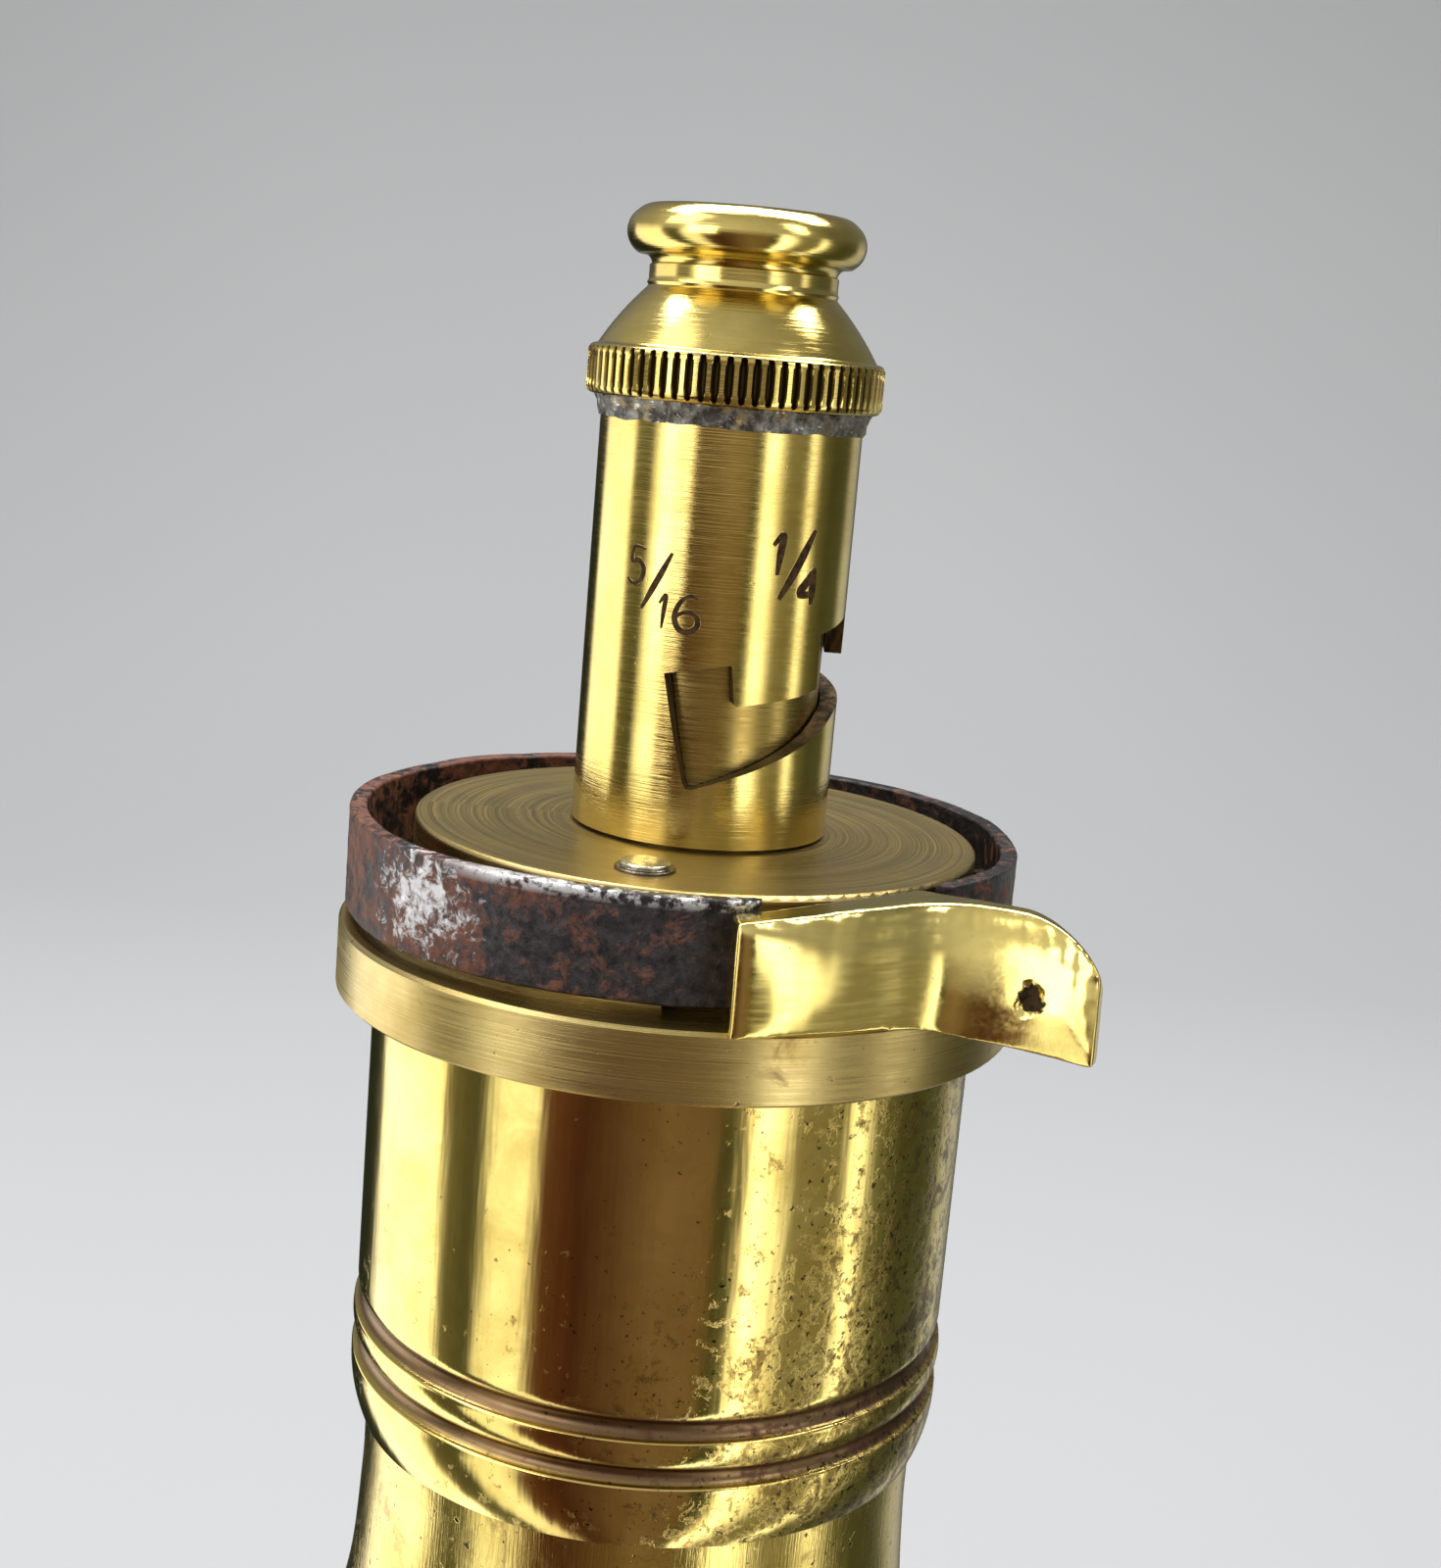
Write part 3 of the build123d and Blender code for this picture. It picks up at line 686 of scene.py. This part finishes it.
# The slot's outline: degrees from the front towards the right, height above the boss
SLOT = [
    (-20.2, 7.0), (-14.5, 4.75), (-8.4, 2.75), (-6.9, 2.52), (-4.6, 2.50), (8, 2.93), (21, 3.36), (38, 3.98),
    (57.7, 4.75), (73, 5.42), (95, 6.0), (130, 6.70), (161, 7.33), (162.5, 7.5), (162, 8.5), (160.5, 11.1),
    (159.5, 11.2), (131.5, 10.6), (131, 10.4), (131, 8.6), (110, 8.1), (91.5, 7.68), (90.5, 7.8), (88, 9.4),
    (87, 9.5), (53.2, 8.82), (52.6, 8.7), (53.2, 6.75), (52.4, 6.6), (42, 6.36), (12, 5.95), (10.8, 6.02),
    (8.6, 7.5), (7.8, 7.56), (-19.2, 7.04),
]


def add_sleeve():
    """The sleeve is cut flat, as (degrees, height), then rolled up and given its thickness."""
    floor = boss_top / MM
    low = sleeve_low[2] / MM
    high = sleeve_high[2] / MM
    rim = [(SEAM_DEG, low), (SEAM_DEG + 360, low), (SEAM_DEG + 360, high), (SEAM_DEG, high)]
    hole = [(degrees, floor + height) for degrees, height in SLOT]
    loops = [[Vector((x, z, 0)) for x, z in rim], [Vector((x, z, 0)) for x, z in hole]]
    flat = rim + hole
    form = bmesh.new()
    corners = [form.verts.new((x, z, 0)) for x, z in flat]
    for triangle in tessellate_polygon(loops):
        form.faces.new([corners[i] for i in triangle])
    bmesh.ops.join_triangles(form, faces=form.faces, angle_face_threshold=3.2, angle_shape_threshold=3.2)
    # A hair to the side, so that no cut runs through a corner
    aside = 0.003
    for cut in range(1, int(360 / STRIP_DEG)):
        place = (SEAM_DEG + cut * STRIP_DEG + aside, 0, 0)
        everything = form.verts[:] + form.edges[:] + form.faces[:]
        bmesh.ops.bisect_plane(form, geom=everything, plane_co=place, plane_no=(1, 0, 0), dist=1e-5)
    form.verts.ensure_lookup_table()
    flat_verts = [tuple(v.co) for v in form.verts]
    flat_faces = [[v.index for v in f.verts] for f in form.faces]
    edges = [(e.verts[0].index, e.verts[1].index) for e in form.edges if len(e.link_faces) == 1]
    form.free()

    def rolled(radius):
        result = []
        for degrees, z, _ in flat_verts:
            angle = math.radians(degrees)
            result.append((charger_x + radius * MM * math.sin(angle), -radius * MM * math.cos(angle), z * MM))
        return result

    count = len(flat_verts)
    verts = rolled(sleeve_r / MM) + rolled(SLEEVE_IN)
    faces = list(flat_faces)
    faces += [[i + count for i in reversed(face)] for face in flat_faces]

    def on_seam(a, b):
        for end in (SEAM_DEG, SEAM_DEG + 360):
            if abs(flat_verts[a][0] - end) < 1e-3 and abs(flat_verts[b][0] - end) < 1e-3:
                return True
        return False

    for a, b in edges:
        if not on_seam(a, b):
            faces.append([a, b, b + count, a + count])
    piece = add_piece("graduated_sleeve", verts, faces, sleeve_brass, "sleeve",
                      ["charger_sleeve"], sharp_deg=30)
    piece.data.materials.append(slot_tarnish_and_shade)
    # Slot walls and the sleeve's inside face take the dark material: tarnish and painted shade
    for face in piece.data.polygons:
        centre = face.center
        out = Vector((centre.x - charger_x, centre.y, 0)).normalized()
        inside = abs(face.normal.dot(out)) < 0.5 and low + 0.1 < centre.z / MM < high - 0.1
        if inside or face.normal.dot(out) < -0.5:
            face.material_index = 1
    edge = piece.modifiers.new("worn_edges", "BEVEL")
    edge.width = WORN_EDGE * MM
    edge.segments = 2
    edge.limit_method = "ANGLE"
    edge.angle_limit = math.radians(50)
    edge.harden_normals = True


# Stroke numerals in a box one unit high
STROKES = {
    "1": [[(0.08, 0.74), (0.30, 1.0), (0.26, 0.5), (0.22, 0.0)]],
    "4": [[(0.52, 0.28), (0.00, 0.30), (0.20, 0.62), (0.44, 1.0)], [(0.44, 1.0), (0.42, 0.5), (0.38, 0.0)]],
    "5": [[(0.60, 0.98), (0.22, 1.0), (0.16, 0.62), (0.38, 0.66), (0.56, 0.46), (0.50, 0.14), (0.24, 0.0),
           (0.02, 0.14)]],
    "6": [[(0.56, 0.94), (0.36, 1.0), (0.14, 0.80), (0.02, 0.42), (0.12, 0.10), (0.34, 0.0), (0.56, 0.14),
           (0.58, 0.38), (0.38, 0.56), (0.14, 0.48), (0.04, 0.34)]],
    "/": [[(0.0, 0.0), (0.30, 0.5), (0.58, 1.0)]],
}

# Numeral, degrees from the front, height above the boss, size in mm, width factor, stroke width in mm
MARKS = [
    ("5", -42.5, 10.35, 1.42, 1.0, 0.21),
    ("/", -33.6, 9.42, 2.30, 0.90, 0.25),
    ("1", -26.0, 8.76, 1.30, 0.9, 0.19),
    ("6", -18.0, 8.72, 1.42, 1.15, 0.23),
    ("1", 20.5, 11.20, 1.55, 1.15, 0.30),
    ("/", 26.5, 10.25, 2.75, 0.95, 0.36),
    ("4", 37.0, 10.05, 1.45, 1.05, 0.36),
]
# Across a stroke: place in half widths, and height above the sleeve; the outer pairs are the burr
GROOVE = [
    (-1.30, -0.02), (-1.05, 0.006), (-0.9, 0.004), (0, 0.004), (0.9, 0.004), (1.05, 0.006), (1.30, -0.02),
]


def add_numerals():
    """Punched fractions: narrow dark strips, old grime and painted shade of a groove, with a raised burr
    round them.
    """
    verts = []
    faces = []
    across_count = len(GROOVE)
    strips = across_count - 1
    skin = sleeve_r / MM
    floor = boss_top / MM
    for mark, degrees, height, size, wide, stroke in MARKS:
        for line in STROKES[mark]:
            path = smooth_line(line, 8)
            start = len(verts)
            for i, point in enumerate(path):
                ahead = path[min(i + 1, len(path) - 1)] - path[max(i - 1, 0)]
                along = Vector((ahead.x * wide, ahead.y)).normalized()
                side = Vector((-along.y, along.x))
                end_taper = min(1.0, 0.45 + 1.6 * min(i, len(path) - 1 - i) / len(path))
                half = stroke / 2 * end_taper
                for across, lift in GROOVE:
                    x = point.x * size * wide + side.x * across * half
                    z = point.y * size + side.y * across * half
                    angle = math.radians(degrees) + x / skin
                    radius = (skin + lift) * MM
                    verts.append((charger_x + radius * math.sin(angle), -radius * math.cos(angle),
                                  (floor + height + z) * MM))
            for i in range(len(path) - 1):
                for j in range(strips):
                    a = start + i * across_count + j
                    faces.append((a, a + 1, a + 1 + across_count, a + across_count))
    piece = add_piece("punched_numerals", verts, faces, numeral_grime_and_shade, "sleeve", sharp_deg=180)
    piece.data.materials.append(sleeve_brass)
    for face in piece.data.polygons:
        on_burr = face.index % strips in (0, strips - 1)
        face.material_index = 1 if on_burr else 0


# ---- lever spring ----------------------------------------------------------------------

# The spring's middle line in plan, from its free end
SPRING_LINE = [
    (2.9, -12.2), (-0.6, -12.65), (-6.5, -11.3), (-11.2, -7.6), (-13.6, -1.8), (-13.2, 4.2), (-9.8, 10.0),
    (-4.0, 13.3), (3.0, 13.7), (9.2, 10.9), (12.7, 6.0), (13.55, 0.6), (12.6, -4.2), (9.9, -7.9),
]
SPRING_HALF = 0.35
SPRING_HIGH = 4.3
SPRING_STEPS = 26
# Point of the line where the spring is cut in two: the free end before it, and the part fixed to the head
# after it
SPRING_BEND = 2


def strip(name, verts, rows, first, last, body=None):
    """One length of the spring, closed at both ends."""
    part = verts[first * rows:(last + 1) * rows]
    faces = []
    for i in range(last - first):
        for row in range(rows):
            after = (row + 1) % rows
            faces.append((i * rows + row, i * rows + after, (i + 1) * rows + after, (i + 1) * rows + row))
    faces.append(tuple(range(rows)))
    end = (last - first) * rows
    faces.append(tuple(end + row for row in reversed(range(rows))))
    piece = add_piece(name, part, faces, spring_steel, body, ["lever_spring"], 60)
    rest = piece.data.attributes.new("rest_place", "FLOAT_VECTOR", "POINT")
    for vertex in piece.data.vertices:
        rest.data[vertex.index].vector = vertex.co
    return piece


def add_spring():
    """Rust-pitted strip on edge, with a wavy top edge."""
    low = spring_low[2] / MM
    high = spring_high[2] / MM
    path = smooth_line(SPRING_LINE, SPRING_STEPS)
    section = outline(
        (-0.20, 0.0),
        (0.20, 0.0),
        ((0.31, 0.04), (0.35, 0.15)),
        (0.35, 4.1),
        ((0.31, 4.26), (0.16, SPRING_HIGH)),
        (-0.16, SPRING_HIGH),
        ((-0.31, 4.26), (-0.35, 4.1)),
        (-0.35, 0.15),
        ((-0.31, 0.04), (-0.20, 0.0)),
    )[:-1]
    section = fine(section, 0.28)
    rows = len(section)
    lengths = [0.0]
    for a, b in zip(path, path[1:]):
        lengths.append(lengths[-1] + (b - a).length)
    verts = []
    for i, point in enumerate(path):
        ahead = (path[min(i + 1, len(path) - 1)] - path[max(i - 1, 0)]).normalized()
        side = Vector((-ahead.y, ahead.x))
        end = min(lengths[i], lengths[-1] - lengths[i])
        thin = math.sqrt(max(0.02, 1 - (1 - min(end / SPRING_HALF, 1)) ** 2))
        for across, up in section:
            spot = Vector((point.x, point.y, up * 1.4))
            rough = 0.030 * noise.fractal(spot * 1.3, 0.9, 2.1, 5)
            wave = 0.05 * noise.noise(spot * 0.45)
            reach = across * thin + math.copysign(rough, across)
            z = low + up * (high - low) / SPRING_HIGH + (wave if up > 2 else 0.4 * wave)
            place = point + side * reach
            verts.append((place.x * MM, place.y * MM, min(z, high) * MM))
    bend = SPRING_BEND * SPRING_STEPS
    free = strip("spring_free_end", verts, rows, 0, bend)
    strip("spring_fixed_part", verts, rows, bend, len(path) - 1, "head")
    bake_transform(free)


# ---- thumb lever -----------------------------------------------------------------------

def copy_of(node, name):
    """A new piece that starts from a CAD node's shape."""
    piece = bpy.data.objects.new(name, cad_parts[node].data.copy())
    bpy.context.scene.collection.objects.link(piece)
    return piece


def bake_modifiers(piece):
    """Modifiers become the piece's own mesh."""
    depsgraph = bpy.context.evaluated_depsgraph_get()
    mesh = bpy.data.meshes.new_from_object(piece.evaluated_get(depsgraph))
    piece.modifiers.clear()
    piece.data = mesh


# The lever's front view, across and height in millimetres, round from the heel's foot
LEVER_EDGE = outline(
    (2.05, 2.4),
    (2.05, 7.02),
    (6.5, 7.45),
    (12.1, 7.45),
    ((14.75, 6.65), (15.85, 4.5)),
    (15.85, 2.4),
    (11.0, 2.5),
    (5.6, 2.85),
    (2.05, 2.4),
)
LEVER_FOOT = 2.4
# Where the heel's shaping starts, and the tail's
HEEL_X = 2.6
TAIL_X = 6.5
# How far in from its outline the face is rolled back, at the heel and further out
ROLL_HEEL = 0.55
ROLL_MORE = 1.25
VOXEL = 0.09
# Casting pits in the lever's face: across, height, size and depth in millimetres
PITS = [(13.2, 4.7, 0.36, 0.14), (12.95, 4.15, 0.30, 0.14)]


def edge_distance(x, z):
    """How far a point of the lever's face is from its outline."""
    best = 99.0
    for (ax, az), (bx, bz) in zip(LEVER_EDGE, LEVER_EDGE[1:]):
        dx, dz = bx - ax, bz - az
        t = share((x - ax) * dx + (z - az) * dz, dx * dx + dz * dz)
        best = min(best, math.hypot(x - ax - t * dx, z - az - t * dz))
    return best


def pillow(piece):
    """Rolls the front face back towards its outline, as a cast edge worn by the thumb."""
    for vertex in piece.data.vertices:
        x, _, z = vertex.co / MM
        tail = share(x - TAIL_X, 4.5)
        lean = max(0.0, (z - 3.6) / 3.8) ** 2 * share(x - HEEL_X, 3.0)
        vertex.co.y += (0.50 * lean + 0.11 * tail * (z - LEVER_FOOT)) * MM
        if vertex.normal.y > -0.3:
            continue
        reach = ROLL_HEEL + ROLL_MORE * share(x - HEEL_X, 4.0)
        near = 1 - min(edge_distance(x, z) / reach, 1.0)
        foot = share(z - 3.0, 1.5)
        vertex.co.y += (0.16 + 0.42 * foot * (reach - ROLL_HEEL) / ROLL_MORE) * near * near * MM


def add_lever():
    """Cast lever with a pillowed front and softened edges, and a casting pit near the tail."""
    piece = copy_of("thumb_lever", "cast_lever")
    remesh = piece.modifiers.new("skin", "REMESH")
    remesh.mode = "VOXEL"
    remesh.voxel_size = VOXEL * MM
    bake_modifiers(piece)
    pillow(piece)
    smooth = piece.modifiers.new("soften", "SMOOTH")
    smooth.factor = 0.5
    smooth.iterations = 32
    bake_modifiers(piece)
    for vertex in piece.data.vertices:
        spot = vertex.co / MM
        vertex.co += vertex.normal * (0.035 * MM * noise.noise(spot * 0.45))
        if vertex.normal.y < -0.4:
            for x, z, size, deep in PITS:
                away = math.hypot(spot.x - x, (spot.z - z) * 0.8) + 0.10 * noise.noise(spot * 6)
                if away < size:
                    vertex.co.y += deep * MM * min(1.0, 2.5 * (1 - away / size))
    piece.data.shade_smooth()
    piece.data.materials.clear()
    piece.data.materials.append(lever_brass)
    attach(piece, "cutoff_lever")
    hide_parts("thumb_lever")


# ---- flask body ------------------------------------------------------------------------

# Height, half width and half depth of the body
BODY = [
    (-13.0, 12.05, 12.05),
    (-16.0, 12.05, 12.05),
    (-18.9, 12.06, 12.05),
    (-22.5, 12.08, 12.12),
    (-28.0, 12.55, 12.3),
    (-34.0, 14.15, 12.7),
    (-42.0, 17.15, 13.1),
    (-50.0, 20.6, 13.4),
    (-58.0, 22.8, 13.45),
    (-64.0, 23.35, 13.0),
    (-70.5, 22.5, 11.9),
    (-75.0, 19.6, 10.1),
    (-79.0, 15.3, 7.5),
    (-81.4, 10.4, 4.9),
    (-82.4, 5.6, 2.5),
    (-82.6, 0.4, 0.2),
]
WALL = 0.8
HALF_STEPS = 96


def body_rows(inset):
    """Height, half width and half depth down the body, or down its inside when inset by the wall."""
    rows = []
    for z, width, depth in smooth_line(BODY, 9):
        lift = inset * share(-70.0 - z, 12.6)
        rows.append((z + lift, max(width - inset, 0.05), max(depth - inset, 0.05)))
    return rows


def add_shell(name, node, first_deg):
    """One stamped half, with its wall's thickness, faintly dented by handling."""
    verts = []
    faces = []
    outer = body_rows(0.0)
    inner = body_rows(WALL)
    for rows, dents in ((outer, 1.0), (inner, 0.0)):
        for z, width, depth in rows:
            for step in range(HALF_STEPS + 1):
                angle = math.radians(first_deg + 180 * step / HALF_STEPS)
                x = width * math.cos(angle)
                y = depth * math.sin(angle)
                fade = share(-20.0 - z, 6) * abs(math.sin(angle))
                dent = dents * fade * 0.14 * noise.noise(Vector((x, y, z)) * 0.09)
                y += math.copysign(dent - 0.07 * fade * dents, y) if abs(y) > 1 else 0
                verts.append((x * MM, y * MM, z * MM))
    rows = len(outer)
    row_len = HALF_STEPS + 1
    offset = rows * row_len
    for r in range(rows - 1):
        for s in range(HALF_STEPS):
            a = r * row_len + s
            faces.append((a, a + 1, a + 1 + row_len, a + row_len))
            b = a + offset
            faces.append((b, b + row_len, b + 1 + row_len, b + 1))
    for r in range(rows - 1):
        for s in (0, HALF_STEPS):
            a = r * row_len + s
            faces.append((a, a + row_len, a + row_len + offset, a + offset))
    for r in (0, rows - 1):
        for s in range(HALF_STEPS):
            a = r * row_len + s
            faces.append((a, a + 1, a + 1 + offset, a + offset))
    add_piece(name, verts, faces, body_brass, "flask", [node], 50)


def add_seam():
    """Line of solder that stands a hair proud along both edges of the body."""
    rows = [row for row in body_rows(0.0) if row[0] < collar_low[2] / MM + 0.3]
    verts = []
    faces = []
    path = [(width, z) for z, width, _ in rows] + [(-width, z) for z, width, _ in reversed(rows)]
    ring = 8
    for index, (x, z) in enumerate(path):
        x1, z1 = path[min(index + 1, len(path) - 1)]
        x0, z0 = path[max(index - 1, 0)]
        out = Vector((-(z1 - z0), x1 - x0)).normalized()
        wobble = 0.5 + 0.5 * noise.noise(Vector((x, z, 3.1)) * 0.6)
        for step in range(ring):
            angle = 2 * math.pi * step / ring
            push = (0.05 * wobble + 0.02) * math.cos(angle) - 0.03
            spread = (0.16 + 0.06 * wobble) * math.sin(angle)
            verts.append(((x + out.x * push) * MM, spread * MM, (z + out.y * push) * MM))
    for index in range(len(path) - 1):
        for step in range(ring):
            after = (step + 1) % ring
            faces.append((index * ring + step, index * ring + after, (index + 1) * ring + after,
                          (index + 1) * ring + step))
    add_piece("body_seam_line", verts, faces, grey_solder, "flask", ["body_seam_solder"], 60)


add_mouthpiece()
add_mouth_solder()
add_collar()
add_charger_tube()
add_pivot_pin()
add_sleeve()
add_numerals()
add_spring()
add_lever()
add_shell("front_shell", "body_front_shell", 180)
add_shell("back_shell", "body_back_shell", 0)
add_seam()

# ---- camera, light and setting ---------------------------------------------------------

CAMERA_RIGHT = (0.99642, 0.00337, 0.08450)
CAMERA_UP = (-0.08348, 0.19910, 0.97641)
CAMERA_PLACE = (0, -87.63, 26.89)


def add_camera():
    """The camera stands 88 mm in front, a little above, and rolled as the flask leans."""
    data = bpy.data.cameras.new("camera")
    camera = bpy.data.objects.new("camera", data)
    bpy.context.scene.collection.objects.link(camera)
    right = Vector(CAMERA_RIGHT)
    up = Vector(CAMERA_UP)
    rotation = Matrix((right, up, right.cross(up))).transposed()
    camera.matrix_world = Matrix.Translation(Vector(CAMERA_PLACE) * MM) @ rotation.to_4x4()
    data.sensor_width = 36.0
    data.lens = 48.9
    data.clip_start = 0.005
    bpy.context.scene.camera = camera


# The floor and its sweep up into the backdrop, in metres
FLOOR_REACH = 6.0
FLOOR_END = 0.30
SWEEP_R = 0.25
BACKDROP_TOP = 1.2


def add_stage():
    """Pale floor that curves up into a plain backdrop."""
    floor_z = cad_box[0][2] - 0.0002
    verts = []
    faces = []
    path = [(-FLOOR_REACH, 0.0)]
    for step in range(17):
        angle = step * math.pi / 32
        path.append((FLOOR_END + SWEEP_R * math.sin(angle), SWEEP_R - SWEEP_R * math.cos(angle)))
    path.append((FLOOR_END + SWEEP_R, BACKDROP_TOP))
    for y, z in path:
        verts += [(-FLOOR_REACH, y, floor_z + z), (FLOOR_REACH, y, floor_z + z)]
    for i in range(len(path) - 1):
        faces.append((2 * i, 2 * i + 1, 2 * i + 3, 2 * i + 2))
    mesh = bpy.data.meshes.new("backdrop")
    mesh.from_pydata(verts, [], faces)
    mesh.shade_smooth()
    backdrop = bpy.data.objects.new("backdrop", mesh)
    bpy.context.scene.collection.objects.link(backdrop)
    g = Graph("backdrop_paper")
    soft = g.noise(g.place, 3.0, 2.0)
    tone = g.mix(soft, (0.29, 0.295, 0.305, 1), (0.35, 0.35, 0.36, 1))
    backdrop.data.materials.append(g.finish(tone, 0.9, g.bump(soft, 0.0001), 0.0))
    backdrop.visible_glossy = False


# Brightness of the studio round the flask: degrees from the front towards the right, colour
STUDIO = [
    (-180, (0.20, 0.21, 0.18)), (-162, (0.02, 0.025, 0.015)), (-138, (0.03, 0.035, 0.02)),
    (-131, (2.2, 2.2, 2.1)), (-93, (2.6, 2.6, 2.5)),
    (-87, (0.20, 0.19, 0.12)), (-70, (0.08, 0.08, 0.05)),
    (-64, (1.7, 1.7, 1.55)), (-49, (1.8, 1.8, 1.65)),
    (-43, (0.17, 0.07, 0.045)), (-28, (0.08, 0.030, 0.020)), (-15, (0.15, 0.09, 0.06)),
    (3, (0.28, 0.20, 0.14)), (20, (0.24, 0.17, 0.11)), (24, (0.06, 0.07, 0.035)), (30, (0.10, 0.11, 0.06)),
    (35, (4.2, 4.2, 4.0)), (45, (2.0, 2.0, 1.9)),
    (52, (0.34, 0.32, 0.24)), (73, (0.24, 0.23, 0.16)),
    (77, (3.0, 3.0, 2.9)), (82, (1.6, 1.6, 1.5)),
    (87, (0.20, 0.20, 0.13)), (104, (0.08, 0.085, 0.05)), (128, (0.10, 0.11, 0.07)),
    (138, (0.62, 0.62, 0.56)), (152, (0.5, 0.5, 0.46)),
    (163, (0.08, 0.09, 0.06)), (180, (0.20, 0.21, 0.18)),
]
# The ceiling is brighter on the side of the big window, and the camera sees a plain grey
WINDOW_WAY = (-0.64, -0.77, 0.0)
CEILING_DIM = (0.18, 0.18, 0.16, 1)
CEILING_BRIGHT = (0.90, 0.90, 0.86, 1)
BACKGROUND = (0.30, 0.305, 0.31, 1)


def add_studio():
    """World light: bright and dark upright bands, as windows and dark furniture round a bench."""
    world = bpy.data.worlds.new("studio")
    bpy.context.scene.world = world
    world.use_nodes = True
    g = Nodes(world.node_tree)
    way = g.node("ShaderNodeTexCoord").outputs["Generated"]
    x, y, z = g.split(way)
    turn = g.math("ARCTAN2", x, g.math("MULTIPLY", y, -1.0))
    ramp = g.node("ShaderNodeValToRGB", {"Fac": g.band(turn, -math.pi, math.pi)})
    stops = ramp.color_ramp.elements
    while len(stops) > 1:
        stops.remove(stops[-1])
    for index, (degrees, colour) in enumerate(STUDIO):
        place = (degrees + 180) / 360
        stop = stops[0] if index == 0 else stops.new(place)
        stop.position = place
        stop.color = (*colour, 1)
    toward_window = g.node("ShaderNodeVectorMath", {0: way, 1: WINDOW_WAY}, operation="DOT_PRODUCT")
    ceiling = g.mix(g.band(toward_window.outputs["Value"], -0.6, 0.95), CEILING_DIM, CEILING_BRIGHT)
    light = g.mix(g.band(z, -0.06, 0.22), ramp.outputs["Color"], ceiling)
    seen = g.mix(g.node("ShaderNodeLightPath").outputs["Is Camera Ray"], light, BACKGROUND)
    g.tree.links.new(seen, g.tree.nodes["Background"].inputs["Color"])


def add_light(name, place, target, size, power):
    """Soft lamp that faces its target; metres and watts."""
    data = bpy.data.lights.new(name, "AREA")
    data.shape = "RECTANGLE"
    data.size, data.size_y = size
    data.energy = power
    lamp = bpy.data.objects.new(name, data)
    bpy.context.scene.collection.objects.link(lamp)
    direction = Vector(target) - Vector(place)
    lamp.matrix_world = Matrix.Translation(place) @ direction.to_track_quat("-Z", "Y").to_matrix().to_4x4()


HEAD_PLACE = (0, 0, 0.01)

add_camera()
add_stage()
add_studio()
add_light("window_left", (-0.35, -0.10, 0.35), HEAD_PLACE, (0.25, 0.35), 0.7)
add_light("window_right", (0.30, -0.22, 0.30), HEAD_PLACE, (0.12, 0.25), 0.45)
add_light("floor_wash", (0.0, 0.12, 0.36), (0, 0.10, -0.1), (0.5, 0.15), 3.6)
add_light("bench_window", (-0.29, -0.29, 0.078), HEAD_PLACE, (0.22, 0.24), 0.5)
bpy.context.scene.view_settings.view_transform = "Standard"
